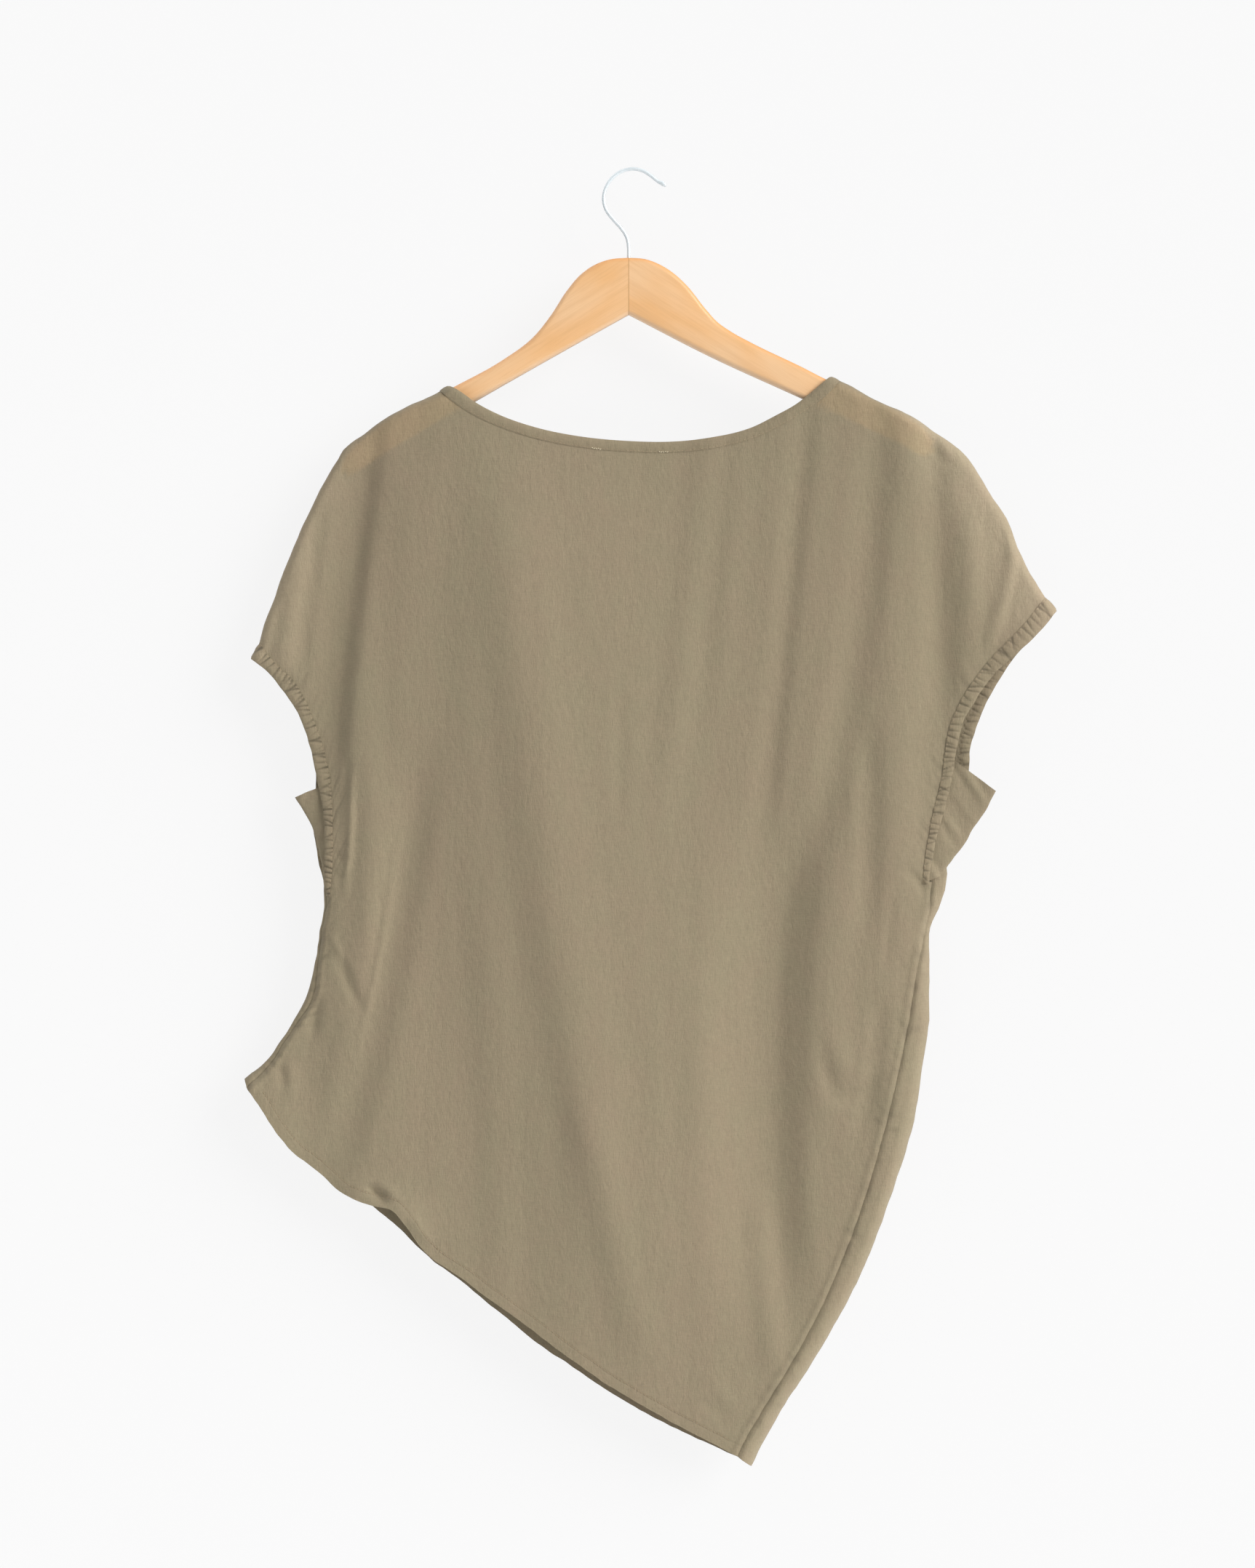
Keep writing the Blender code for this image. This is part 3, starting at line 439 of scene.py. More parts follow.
# The folds of each panel, each on a smooth line through three points, with its own width to either side.
# Height is outward, so a trough's is below zero.
FOLD_COLUMNS = "top_x top_z mid_x mid_z low_x low_z left right height"
FOLDS_BACK = table(
    FOLD_COLUMNS,
    (-118, -60, -60, -450, 34, -990, 116, 160, 9),
    (-96, -150, -62, -480, 4, -840, 34, 46, 2.8),
    (-104, -500, -95, -680, -92, -880, 20, 24, 1.6),
    (-179, -150, -207, -345, -219, -500, 34, 15, -4),
    (-158, -180, -190, -360, -201, -510, 17, 50, 1.5),
    (-146, -405, -173, -580, -222, -770, 24, 22, -3),
    (-186, -420, -188, -510, -196, -590, 12, 14, 0.8),
    (139, -120, 117, -345, 96, -530, 17, 12, -2),
    (186, -120, 168, -360, 122, -570, 22, 20, -2.4),
    (134, -430, 107, -640, 122, -880, 62, 31, -7),
    (160, -490, 147, -620, 150, -730, 20, 26, 2),
    (176, -390, 178, -480, 176, -580, 15, 16, -1.7),
    (224, -150, 231, -310, 229, -430, 19, 14, -2.1),
    (208, -130, 205, -350, 199, -580, 24, 22, 1.5),
    (250, -225, 253, -310, 249, -410, 14, 15, 1.9),
    (66, -130, 45, -330, 20, -510, 16, 19, 1.1),
    (-3, -372, -4, -428, -6, -490, 9, 8, -0.7),
    (88, -150, 76, -300, 62, -440, 13, 14, 0.6),
    (96, -740, 101, -810, 110, -900, 15, 16, 2),
    (-34, -660, -14, -760, 18, -890, 22, 24, 1.8),
    (-150, -190, -156, -320, -160, -470, 20, 26, 1),
    (-238, -250, -246, -315, -256, -380, 10, 11, 1.4),
    (-222, -235, -232, -310, -243, -390, 9, 9, -1),
    (288, -245, 282, -302, 260, -368, 11, 5.5, 2.2),
    (44, -560, 52, -640, 60, -740, 24, 26, 0.9),
    (186, -600, 182, -660, 170, -720, 12, 12, -1.6),
)
FOLDS_FRONT = table(
    FOLD_COLUMNS,
    (-192, -240, -204, -380, -210, -510, 18, 20, -3),
    (-176, -260, -188, -400, -200, -560, 13, 15, 2),
    (-146, -220, -132, -470, -120, -830, 34, 40, -3.6),
    (-84, -300, -58, -520, -20, -800, 60, 34, 4.6),
    (-170, -430, -182, -560, -216, -700, 20, 26, 2.4),
    (30, -260, 16, -480, -4, -700, 24, 44, -3),
    (-30, -240, -34, -360, -30, -480, 16, 18, 1.4),
    (110, -220, 92, -430, 66, -700, 26, 36, 3.4),
    (138, -220, 130, -360, 118, -520, 14, 12, -1.8),
    (168, -300, 150, -520, 118, -840, 24, 30, -3.6),
    (206, -230, 208, -380, 198, -520, 14, 16, 2.2),
    (70, -640, 72, -760, 84, -900, 24, 20, 2),
    (-60, -600, -40, -720, 0, -870, 20, 26, -1.8),
)

# Short sharp creases, each along a bent line, and the soft bulges beside the kink in the back hem.
CREASE_COLUMNS = "start_x start_z mid_x mid_z end_x end_z half_width height"
CREASES_BACK = table(
    CREASE_COLUMNS,
    (-213.5, -478, -206, -455, -203, -425, 3.5, -1.4),
    (-201, -432, -202, -488, -208, -545, 3, 1.9),
    (224, -530, 229, -533, 234, -534, 1.6, -1.2),
    (225, -537, 229, -541, 232, -542, 1.6, -1.1),
    (224, -545, 227, -549, 229, -552, 1.6, -1),
    (201, -512, 218, -527, 224, -541, 4, -1.5),
    (213, -556, 217, -566, 219, -580, 3, -0.8),
    (-212, -573, -201.5, -602, -190, -626, 4.2, -2.1),
    (-218, -560, -212, -572, -207, -584, 3, 0.9),
    (-204, -606, -203, -616, -202, -628, 4, -0.8),
    (-227, -602, -228, -622, -231, -645, 4.6, -2),
    (-254.6, -652, -253, -666, -252, -682, 4, -1.2),
    (-247, -650, -246, -670, -247, -690, 4, 0.8),
    (-192, -744, -181, -754, -171, -763, 2.6, -2.4),
    (-184, -741, -175, -749, -163, -757, 3.2, 1.8),
    (-160, -765, -152, -777, -140, -790, 5, 1.6),
    (228.9, -194, 233, -203, 238, -215, 2.4, 1.1),
    (224, -200, 229, -208, 233, -219, 2.6, -0.4),
    (140, -622, 158, -682, 199, -662, 6, -1.9),
    (146, -626, 166, -664, 196, -644, 8, 1.3),
    (-163, -462, -181, -579, -206, -680, 2.6, 1),
    (196, -520, 193, -560, 190, -600, 4, -0.8),
    (54, -903, 66, -912, 78, -918, 4, -0.9),
    (60, -880, 72, -900, 84, -908, 4, 0.8),
    (-216, -500, -209, -506, -203, -509, 2.2, -0.7),
    (-217, -516, -211, -519, -205, -520, 2.2, -0.6),
    (250, -352, 262, -338, 276, -330, 3, 0.7),
)
CREASES_FRONT = table(
    CREASE_COLUMNS,
    (-214, -480, -204, -470, -196, -455, 3.5, -1.2),
    (222, -505, 210, -512, 198, -516, 3, -1.2),
    (-206, -560, -198, -584, -190, -600, 4, -1.2),
    (90, -880, 78, -900, 62, -908, 4, 0.9),
)
BULGES = table(
    "side x z radius_x radius_z height",
    (-1, -166, -768, 20, 14, 3.4),
    (-1, -181, -752, 9, 7, -1.6),
    (-1, -196, -748, 14, 9, 1.2),
    (1, -160, -778, 24, 18, 2.6),
    (-1, -262, -716, 34, 44, 3),
)


# The hanger's left and right halves, from the joint out along the top edge and back along the lower.
WOOD_LEFT = table(
    "x z",
    (-11.2, -65.4),
    (-23.3, -69.7),
    (-33.8, -77.2),
    (-42.9, -87.9),
    (-56.3, -108.3),
    (-68.1, -122.7),
    (-91.1, -139.9),
    (-124.1, -158.1),
    (-142, -167.3),
    (-160.8, -175.5),
    (-177.4, -185.4),
    (-190.8, -196.4),
    (-200, -205),
    (-206.6, -213),
    (-209.6, -219.6),
    (-207.6, -224.8),
    (-202.1, -223.4),
    (-179, -210.1),
    (-154.4, -195.6),
    (-111.5, -170.4),
    (-42.9, -131.3),
)
WOOD_RIGHT = table(
    "x z",
    (14.3, -65.3),
    (24.7, -69.1),
    (35.4, -75.8),
    (44.5, -84.2),
    (59.5, -102.9),
    (67, -111.2),
    (77.5, -118.7),
    (92.5, -126.9),
    (130.1, -145),
    (146.6, -153.4),
    (165.6, -161.1),
    (186, -171.3),
    (205, -180.6),
    (214.4, -186.6),
    (221.6, -193.4),
    (225.8, -200.6),
    (226.2, -207.6),
    (221.6, -210.8),
    (200, -200.8),
    (130.2, -168),
    (62.2, -136.9),
)

# The hook's wire from its tip, over the bend and down into the wood, with the wire's swelling.
HOOK = table(
    "x z swell",
    (29.6, -11.4, 0.55),
    (28.9, -10.4, 1.2),
    (27.2, -9.4, 1.3),
    (24.6, -8.2, 1),
    (19.2, -4, 1),
    (13, -0.1, 1),
    (5.6, 1.45, 1),
    (-2.1, 0.1, 1),
    (-10.6, -5.9, 1),
    (-15, -13.4, 1),
    (-16.3, -20.4, 1),
    (-14.5, -28.4, 1),
    (-9, -36, 1),
    (-2.8, -43, 1),
    (0.9, -49.2, 1),
    (2.1, -56, 1),
    (2.2, -64, 1),
)


def spline(knots, values, at):
    """The smooth curve through the values, read at each place in `at`."""
    knots = np.asarray(knots, float)
    values = np.asarray(values, float)
    at = np.asarray(at, float)
    slopes = np.gradient(values, knots)
    low = np.clip(np.searchsorted(knots, at, side="right") - 1, 0, len(knots) - 2)
    span = knots[low + 1] - knots[low]
    t = (at - knots[low]) / span
    start = (1 + 2 * t) * (1 - t) ** 2 * values[low] + t * (1 - t) ** 2 * span * slopes[low]
    end = t * t * (3 - 2 * t) * values[low + 1] + t * t * (t - 1) * span * slopes[low + 1]
    return start + end


def chord_places(x, z):
    """How far along a line each of its points lies, from 0 to 1."""
    lengths = np.hypot(np.diff(x), np.diff(z))
    places = np.concatenate([[0.0], np.cumsum(lengths)])
    return places / places[-1]


def along(x, z, at, places=None):
    """The points at the places `at`, from 0 to 1, on the smooth line through x and z."""
    if places is None:
        places = chord_places(x, z)
    return np.stack([spline(places, x, at), spline(places, z, at)], axis=-1)


def dense(x, z, count=240):
    return along(x, z, np.linspace(0, 1, count))


def nearest(points, line):
    """Each point's distance from a line, and how far along it its nearest place is, from 0 to 1."""
    starts = line[:-1]
    runs = line[1:] - starts
    least = np.full(points.shape[:-1], np.inf)
    place = np.zeros(points.shape[:-1])
    for number, (start, run) in enumerate(zip(starts, runs)):
        offset = points - start
        t = np.clip((offset @ run) / (run @ run), 0, 1)
        away = np.linalg.norm(offset - t[..., None] * run, axis=-1)
        closer = away < least
        least = np.where(closer, away, least)
        place = np.where(closer, (number + t) / len(runs), place)
    return least, place


def distance(points, lines):
    """The distance of each point from the nearest of some lines."""
    return np.minimum.reduce([nearest(points, line)[0] for line in lines])


def smooth(t):
    t = np.clip(t, 0, 1)
    return t * t * (3 - 2 * t)


def quarter_round(distance_in, radius):
    """0 at a fold's edge and 1 where the sheet is flat again, along an ellipse's quarter."""
    return np.sqrt(1 - (1 - np.clip(distance_in / radius, 0, 1)) ** 2)


SHOULDER_LINES = (
    dense(SHOULDER_LEFT["x"], SHOULDER_LEFT["z"]),
    dense(SHOULDER_RIGHT["x"], SHOULDER_RIGHT["z"]),
)
SIDE_LINES = (
    dense(SIDE_LEFT["fold_x"], SIDE_LEFT["fold_z"]),
    dense(SIDE_RIGHT["fold_x"], SIDE_RIGHT["fold_z"]),
)


def folds(rows, points):
    """The height of a panel's folds at each point."""
    x = points[..., 0]
    z = points[..., 1]
    height = np.zeros(x.shape)
    for row in zip(*rows.values()):
        top_x, top_z, mid_x, mid_z, low_x, low_z, left, right, tall = row
        toward_mid = (z - mid_z) * (z - low_z) / ((top_z - mid_z) * (top_z - low_z))
        at_mid = (z - top_z) * (z - low_z) / ((mid_z - top_z) * (mid_z - low_z))
        toward_low = (z - top_z) * (z - mid_z) / ((low_z - top_z) * (low_z - mid_z))
        middle = top_x * toward_mid + mid_x * at_mid + low_x * toward_low
        off = x - middle
        across = np.clip(np.where(off < 0, -off / left, off / right), 0, 1)
        down = (top_z - z) / (top_z - low_z)
        fade = smooth(down / FOLD_FADE) * smooth((1 - down) / FOLD_FADE)
        height += tall * fade * 0.5 * (1 + np.cos(np.pi * across))
    return height


def unit(vectors):
    return vectors / np.maximum(np.linalg.norm(vectors, axis=-1, keepdims=True), 1e-12)


def neck_of(side):
    """The neck table of one panel: the front's is the back's, lowered toward the middle."""
    neck = dict(NECK_BACK)
    if side == FRONT:
        middle = (neck["seam_x"][0] + neck["seam_x"][-1]) / 2
        half = neck["seam_x"][-1] - middle
        for part in ("edge", "seam"):
            off_middle = np.clip((neck[part + "_x"] - middle) / half, -1, 1)
            neck[part + "_z"] = neck[part + "_z"] - FRONT_NECK_DROP * (1 - off_middle**2) ** 1.5
    return neck


def shoulder_to_seam(shoulder, corner_x):
    """The shoulder's points between the armhole binding and the neck binding."""
    x = shoulder["x"]
    z = shoulder["z"]
    keep = (np.abs(x) > abs(corner_x) + 3) & (np.arange(len(x)) > 0)
    return x[keep], z[keep]


def top_edge(side):
    """A panel's top edge as x and z, left shoulder, neck seam and right shoulder, in three runs."""
    neck = neck_of(side)
    corner_left = (neck["seam_x"][0], neck["seam_z"][0])
    corner_right = (neck["seam_x"][-1], neck["seam_z"][-1])
    left_x, left_z = shoulder_to_seam(SHOULDER_LEFT, corner_left[0])
    right_x, right_z = shoulder_to_seam(SHOULDER_RIGHT, corner_right[0])
    left = (np.append(left_x, corner_left[0]), np.append(left_z, corner_left[1]))
    right = (np.append(right_x, corner_right[0])[::-1], np.append(right_z, corner_right[1])[::-1])
    return [dense(*left), dense(neck["seam_x"], neck["seam_z"]), dense(*right)]


ARMHOLES = {
    (BACK, 0): ARMHOLE_LEFT_BACK,
    (FRONT, 0): ARMHOLE_LEFT_FRONT,
    (BACK, 1): ARMHOLE_RIGHT_BACK,
    (FRONT, 1): ARMHOLE_RIGHT_FRONT,
}
SIDES = (SIDE_LEFT, SIDE_RIGHT)
HEMS = {BACK: HEM_BACK, FRONT: HEM_FRONT}
TOPS = {side: np.concatenate(top_edge(side)) for side in (BACK, FRONT)}
TOP_LEFT_X = TOPS[BACK][0, 0]
TOP_RIGHT_X = TOPS[BACK][-1, 0]


def armhole_point(side, end, part, v):
    """A point on an armhole's edge or seam, v from 0 at the tip to UNDERARM."""
    rows = ARMHOLES[side, end]
    places = chord_places(rows["seam_x"], rows["seam_z"])
    return along(rows[part + "_x"], rows[part + "_z"], np.asarray(v) / UNDERARM, places)


def side_point(end, part, v):
    """A point on a side's fold or seam, v from NOTCH at the underarm to 1."""
    rows = SIDES[end]
    places = chord_places(rows["fold_x"], rows["fold_z"])
    return along(rows[part + "_x"], rows[part + "_z"], (np.asarray(v) - NOTCH) / (1 - NOTCH), places)


def flank(side, end, v):
    """The left (0) or right (1) edge of a panel at v."""
    v = np.asarray(v, float)
    above = armhole_point(side, end, "seam", np.minimum(v, UNDERARM))
    lower_v = np.maximum(v, NOTCH)
    if side == BACK:
        seam = side_point(end, "seam", lower_v)
        below = seam + SEAM_GAP * unit(seam - side_point(end, "fold", lower_v))
    else:
        below = side_point(end, "fold", lower_v)
    mix = np.clip((v - UNDERARM) / (NOTCH - UNDERARM), 0, 1)[..., None]
    return above + (below - above) * mix


def plan(side, u, v):
    """A panel's point in the outline's plane: u runs left to right, v from the top to the hem."""
    u, v = np.broadcast_arrays(np.asarray(u, float), np.asarray(v, float))
    top_x = TOP_LEFT_X + u * (TOP_RIGHT_X - TOP_LEFT_X)
    top = np.stack([top_x, np.interp(top_x, TOPS[side][:, 0], TOPS[side][:, 1])], axis=-1)
    left = flank(side, 0, v)
    right = flank(side, 1, v)
    corners = [flank(side, end, float(low)) for low in (0, 1) for end in (0, 1)]
    top_left, top_right, low_left, low_right = corners
    hem = dense(HEMS[side]["x"], HEMS[side]["z"])
    low_x = low_left[0] + u * (low_right[0] - low_left[0])
    low = np.stack([low_x, np.interp(low_x, hem[:, 0], hem[:, 1])], axis=-1)
    u = u[..., None]
    v = v[..., None]
    ruled = (1 - v) * top + v * low + (1 - u) * left + u * right
    doubled = (1 - v) * ((1 - u) * top_left + u * top_right)
    return ruled - doubled - v * ((1 - u) * low_left + u * low_right)


SIDE_SEAM_LINES = (
    dense(SIDE_LEFT["seam_x"], SIDE_LEFT["seam_z"]),
    dense(SIDE_RIGHT["seam_x"], SIDE_RIGHT["seam_z"]),
)


def inside_outline(points, outline):
    """Which points of the plane lie inside a closed outline."""
    x = points[..., 0]
    z = points[..., 1]
    inside = np.zeros(x.shape, bool)
    for (ax, az), (bx, bz) in zip(outline, np.roll(outline, -1, axis=0)):
        crosses = (az > z) != (bz > z)
        at = (bx - ax) * (z - az) / np.where(bz == az, 1e-9, bz - az) + ax
        inside ^= crosses & (x < at)
    return inside


def wood_outline(end, count):
    shape = (WOOD_LEFT, WOOD_RIGHT)[end]
    x = np.concatenate([[JOINT_X], shape["x"], [JOINT_X]])
    z = np.concatenate([[JOINT_TOP_Z], shape["z"], [JOINT_LOW_Z]])
    return along(x, z, np.linspace(0, 1, count))


def over_wood(points):
    """1 where the hanger lies behind the cloth, softly 0 beyond its edge."""
    cover = np.zeros(points.shape[:-1])
    for end in (0, 1):
        outline = wood_outline(end, count=60)
        closed = np.concatenate([outline, outline[:1]])
        from_edge = distance(points, [closed])
        signed = np.where(inside_outline(points, outline), from_edge, -from_edge)
        cover = np.maximum(cover, smooth(0.5 + signed / WOOD_SHADOW))
    return cover


def noise(x, z, size_x, size_z, seed):
    """Smooth random heights from -1 to 1, with features about size_x by size_z across."""
    across = np.asarray(x, float) / size_x + seed * 3.7
    down = np.asarray(z, float) / size_z + seed * 1.3
    column = np.floor(across)
    row = np.floor(down)
    share_x = smooth(across - column)
    share_z = smooth(down - row)

    def corner(i, j):
        mixed = np.sin((column + i) * 127.1 + (row + j) * 311.7 + seed * 74.7) * 43758.5453
        return 2 * (mixed - np.floor(mixed)) - 1

    top = corner(0, 0) * (1 - share_x) + corner(1, 0) * share_x
    low = corner(0, 1) * (1 - share_x) + corner(1, 1) * share_x
    return top * (1 - share_z) + low * share_z


def crumpled(points):
    """The plane's points moved a little, so that no edge of the cloth runs quite smooth."""
    x = points[..., 0]
    z = points[..., 1]
    short = np.stack([noise(x, z, 6, 6, 21), noise(x, z, 6, 6, 22)], axis=-1)
    long = np.stack([noise(x, z, 17, 17, 23), noise(x, z, 17, 17, 24)], axis=-1)
    return points + EDGE_WOBBLE * (short + long)


def ripples(side, points):
    """The cloth's own crinkle, in long narrow ridges down the panel."""
    x = points[..., 0]
    z = points[..., 1]
    seed = 3 + side
    bent = x + 6 * noise(x, z, 60, 130, seed)
    wide = 0.32 * noise(bent, z, 19, 170, seed + 5)
    narrow = 0.11 * noise(bent, z, 8, 50, seed + 9)
    level = 0.14 * noise(x, z, 36, 16, seed + 13)
    return wide + narrow + level


def creases(rows, points):
    """Short sharp folds, fading toward both ends."""
    height = np.zeros(points.shape[:-1])
    for row in zip(*rows.values()):
        start_x, start_z, mid_x, mid_z, end_x, end_z, half_width, tall = row
        run = along([start_x, mid_x, end_x], [start_z, mid_z, end_z], np.linspace(0, 1, 9))
        from_mid = np.linalg.norm(points - [mid_x, mid_z], axis=-1)
        near = from_mid < length_of(run) + 3 * half_width
        away, place = nearest(points[near], run)
        fade = smooth(place / 0.4) * smooth((1 - place) / 0.4)
        height[near] += tall * fade * np.exp(-((away / half_width) ** 2))
    return height


def bulges(side, points):
    height = np.zeros(points.shape[:-1])
    for row in zip(*BULGES.values()):
        owner, x, z, radius_x, radius_z, tall = row
        if owner == side:
            far = ((points[..., 0] - x) / radius_x) ** 2 + ((points[..., 1] - z) / radius_z) ** 2
            height += tall * np.exp(-far)
    return height


def stand_off(side, points):
    """How far the cloth's middle stands from the plane between the panels, with its folds and creases."""
    x = points[..., 0]
    z = points[..., 1]
    body = ARM_REACH + (BODY_REACH - ARM_REACH) * smooth((BODY_FROM_Z - z) / BODY_OVER_Z)
    out = smooth((np.abs(x) - SLEEVE_FROM_X) / SLEEVE_OVER_X)
    sleeve = out * smooth((SLEEVE_FROM_Z - z) / SLEEVE_OVER_Z)
    flat = body + (SLEEVE_REACH - body) * sleeve
    over_shoulder = distance(points, SHOULDER_LINES)
    over_side = distance(points, SIDE_LINES)
    shape = quarter_round(over_shoulder, SHOULDER_ROUND) * quarter_round(over_side, SIDE_ROUND)
    rows = FOLDS_BACK if side == BACK else FOLDS_FRONT
    sharp = CREASES_BACK if side == BACK else CREASES_FRONT
    height = shape * flat + shape**4 * (folds(rows, points) + bulges(side, points))
    height += shape**2 * (ripples(side, points) + creases(sharp, points))
    if side == BACK:
        from_seam = distance(points, SIDE_SEAM_LINES)
        height -= shape * SEAM_DIP * np.exp(-((from_seam / SEAM_DIP_WIDTH) ** 2))
        height += shape * SEAM_RIDGE * np.exp(-(((from_seam - SEAM_RIDGE_AT) / SEAM_RIDGE_WIDTH) ** 2))
    return np.maximum(height, OVER_WOOD * over_wood(points))


def pucker_rows(seed, length, spacing, tall):
    """Small creases across a seam: where each lies along it, its tilt, height and reach."""
    rng = np.random.default_rng(seed)
    count = int(length / spacing * 1.4)
    places = np.cumsum(rng.uniform(0.55, 1.45, count) * spacing)
    tilts = rng.uniform(-0.55, 0.55, count)
    heights = tall * rng.uniform(0.35, 1.0, count)
    reaches = rng.uniform(4.0, 12.0, count)
    return list(zip(places, tilts, heights, reaches))


def puckers(rows, run, inward, half_width):
    """The depth of the small creases at a place along a seam and a distance in from it."""
    depth = np.zeros(np.broadcast(run, inward).shape)
    for place, tilt, tall, far in rows:
        across = (run - place - tilt * inward) / half_width
        depth -= tall * np.exp(-(across**2)) * np.exp(-np.abs(inward) / far)
    return depth


def length_of(line):
    return float(np.linalg.norm(np.diff(line, axis=0), axis=1).sum())


ARMHOLE_LINES = {
    key: dense(rows["seam_x"], rows["seam_z"]) for key, rows in ARMHOLES.items()
}
ARMHOLE_PUCKERS = {
    (side, end): pucker_rows(seed=11 + 3 * side + end, length=length_of(line), spacing=4.0, tall=1.3)
    for (side, end), line in ARMHOLE_LINES.items()
}
SIDE_PUCKERS = [
    pucker_rows(seed=31 + end, length=length_of(line), spacing=6.0, tall=0.5)
    for end, line in enumerate(SIDE_SEAM_LINES)
]
NECK_PUCKERS = pucker_rows(seed=41, length=700.0, spacing=6.5, tall=0.16)


def panel_puckers(side, flat, v):
    """The depth of a panel's small creases beside its armholes and side seams."""
    depth = np.zeros(v.shape)
    for end, near in ((0, slice(None, PUCKER_COLUMNS)), (1, slice(-PUCKER_COLUMNS, None))):
        points = flat[near]
        place = v[near]
        line = ARMHOLE_LINES[side, end]
        run = place / UNDERARM * length_of(line)
        upper = puckers(ARMHOLE_PUCKERS[side, end], run, distance(points, [line]), PANEL_PUCKER)
        upper *= PANEL_SHARE * smooth((UNDERARM - place) / PUCKER_FADE)
        seam = SIDE_SEAM_LINES[end]
        run = (place - NOTCH) / (1 - NOTCH) * length_of(seam)
        lower = puckers(SIDE_PUCKERS[end], run, distance(points, [seam]), PANEL_PUCKER)
        lower *= smooth((place - NOTCH) / PUCKER_FADE)
        depth[near] += np.where(place < NOTCH - 1e-9, upper, lower)
    return depth


def unit_normals(points, loop=False):
    """The direction square to a grid of points at each of them."""
    if loop:
        across = np.roll(points, -1, axis=0) - np.roll(points, 1, axis=0)
    else:
        across = np.gradient(points, axis=0)
    return unit(np.cross(across, np.gradient(points, axis=1)))


def raised(points, y):
    """The plane's points, each with its y."""
    return np.stack([points[..., 0], y, points[..., 1]], axis=-1)


def facing(points, side):
    """The directions square to a grid of points, on the garment's outer side."""
    normals = unit_normals(points)
    return normals * side * np.sign(normals[..., 1].mean())


def make_mesh(name, corners, faces, material, marks=None):
    """A mesh object from points in millimetres, with its faces turned outward."""
    corners = np.asarray(corners, float) * MM
    signed = 0.0
    for face in faces:
        for points in (face[:, [0, k, k + 1]] for k in range(1, face.shape[1] - 1)):
            a, b, c = (corners[points[:, k]] for k in range(3))
            signed += float((a * np.cross(b, c)).sum())
    order = slice(None, None, -1) if signed < 0 else slice(None)
    listed = [tuple(row) for face in faces for row in face[:, order].tolist()]
    mesh = bpy.data.meshes.new(name)
    mesh.from_pydata(corners.tolist(), [], listed)
    mesh.shade_smooth()
    mesh.set_sharp_from_angle(angle=np.radians(SHARP_DEGREES))
    for label, values in (marks or {}).items():
        attribute = mesh.attributes.new(label, "FLOAT", "POINT")
        attribute.data.foreach_set("value", np.asarray(values, np.float32))
    mesh.materials.append(material)
    made = bpy.data.objects.new(name, mesh)
    bpy.context.collection.objects.link(made)
    return made


def make_sheet(name, points, outward, thick, material, marks, keep=None, loop=False):
    """A thin closed sheet around a grid of points. Each mark is stored on its vertices."""
    columns, rows = points.shape[:2]
    index = np.arange(columns * rows).reshape(columns, rows)
    after = np.roll(index, -1, axis=0)
    quads = np.stack([index[:, :-1], after[:, :-1], after[:, 1:], index[:, 1:]], axis=-1)
    if not loop:
        quads = quads[:-1]
    quads = quads.reshape(-1, 4) if keep is None else quads[keep]
    used = np.unique(quads)
    place = np.zeros(columns * rows, int)
    place[used] = np.arange(len(used))
    quads = place[quads]
    count = len(used)
    half = np.broadcast_to(np.asarray(thick, float), points.shape[:2]).reshape(-1, 1)[used] / 2
    middle = points.reshape(-1, 3)[used]
    away = outward.reshape(-1, 3)[used]
    starts = quads.reshape(-1)
    ends = np.roll(quads, -1, axis=1).reshape(-1)
    rim = ~np.isin(starts * count + ends, ends * count + starts)
    start = starts[rim]
    end = ends[rim]
    edge = np.stack([end, start, start + count, end + count], axis=-1)
    faces = [quads, quads[:, ::-1] + count, edge]
    doubled = {label: np.tile(values.reshape(-1)[used], 2) for label, values in marks.items()}
    corners = np.concatenate([middle + away * half, middle - away * half])
    return make_mesh(name, corners, faces, material, doubled)


def spread(start, end, count, ease_start=(), ease_end=()):
    """Places from start to end, with extra ones near the ends."""
    low = start + max(ease_start, default=0)
    high = end - max(ease_end, default=0)
    eased = [start + ease for ease in (0, *ease_start)] + [end - ease for ease in (0, *ease_end)]
    return sorted({round(place, 6) for place in (*eased, *np.linspace(low, high, count))})


def panel_columns():
    """The columns' u, evenly parted along each shoulder's slope and along the neck."""
    places = []
    for run, count in zip(top_edge(BACK), (SHOULDER_COLUMNS, NECK_COLUMNS, SHOULDER_COLUMNS)):
        found = np.interp(np.linspace(0, 1, count), chord_places(run[:, 0], run[:, 1]), run[:, 0])
        places.append(found if not places else found[1:])
    x = np.concatenate(places)
    return (x - TOP_LEFT_X) / (TOP_RIGHT_X - TOP_LEFT_X)


def panel_rows():
    """The rows' v, and the first row below the armholes."""
    above = spread(0, UNDERARM, ARMHOLE_ROWS, ease_start=(0.0015, 0.004, 0.008), ease_end=(0.003,))
    hem_ease = (0.0015, 0.004, 0.007, 0.0105, 0.014, 0.0175, 0.021, 0.025, 0.029, 0.034)
    below = spread(NOTCH, 1, BODY_ROWS, ease_start=(0.003,), ease_end=hem_ease)
    return np.array(above + below), len(above)


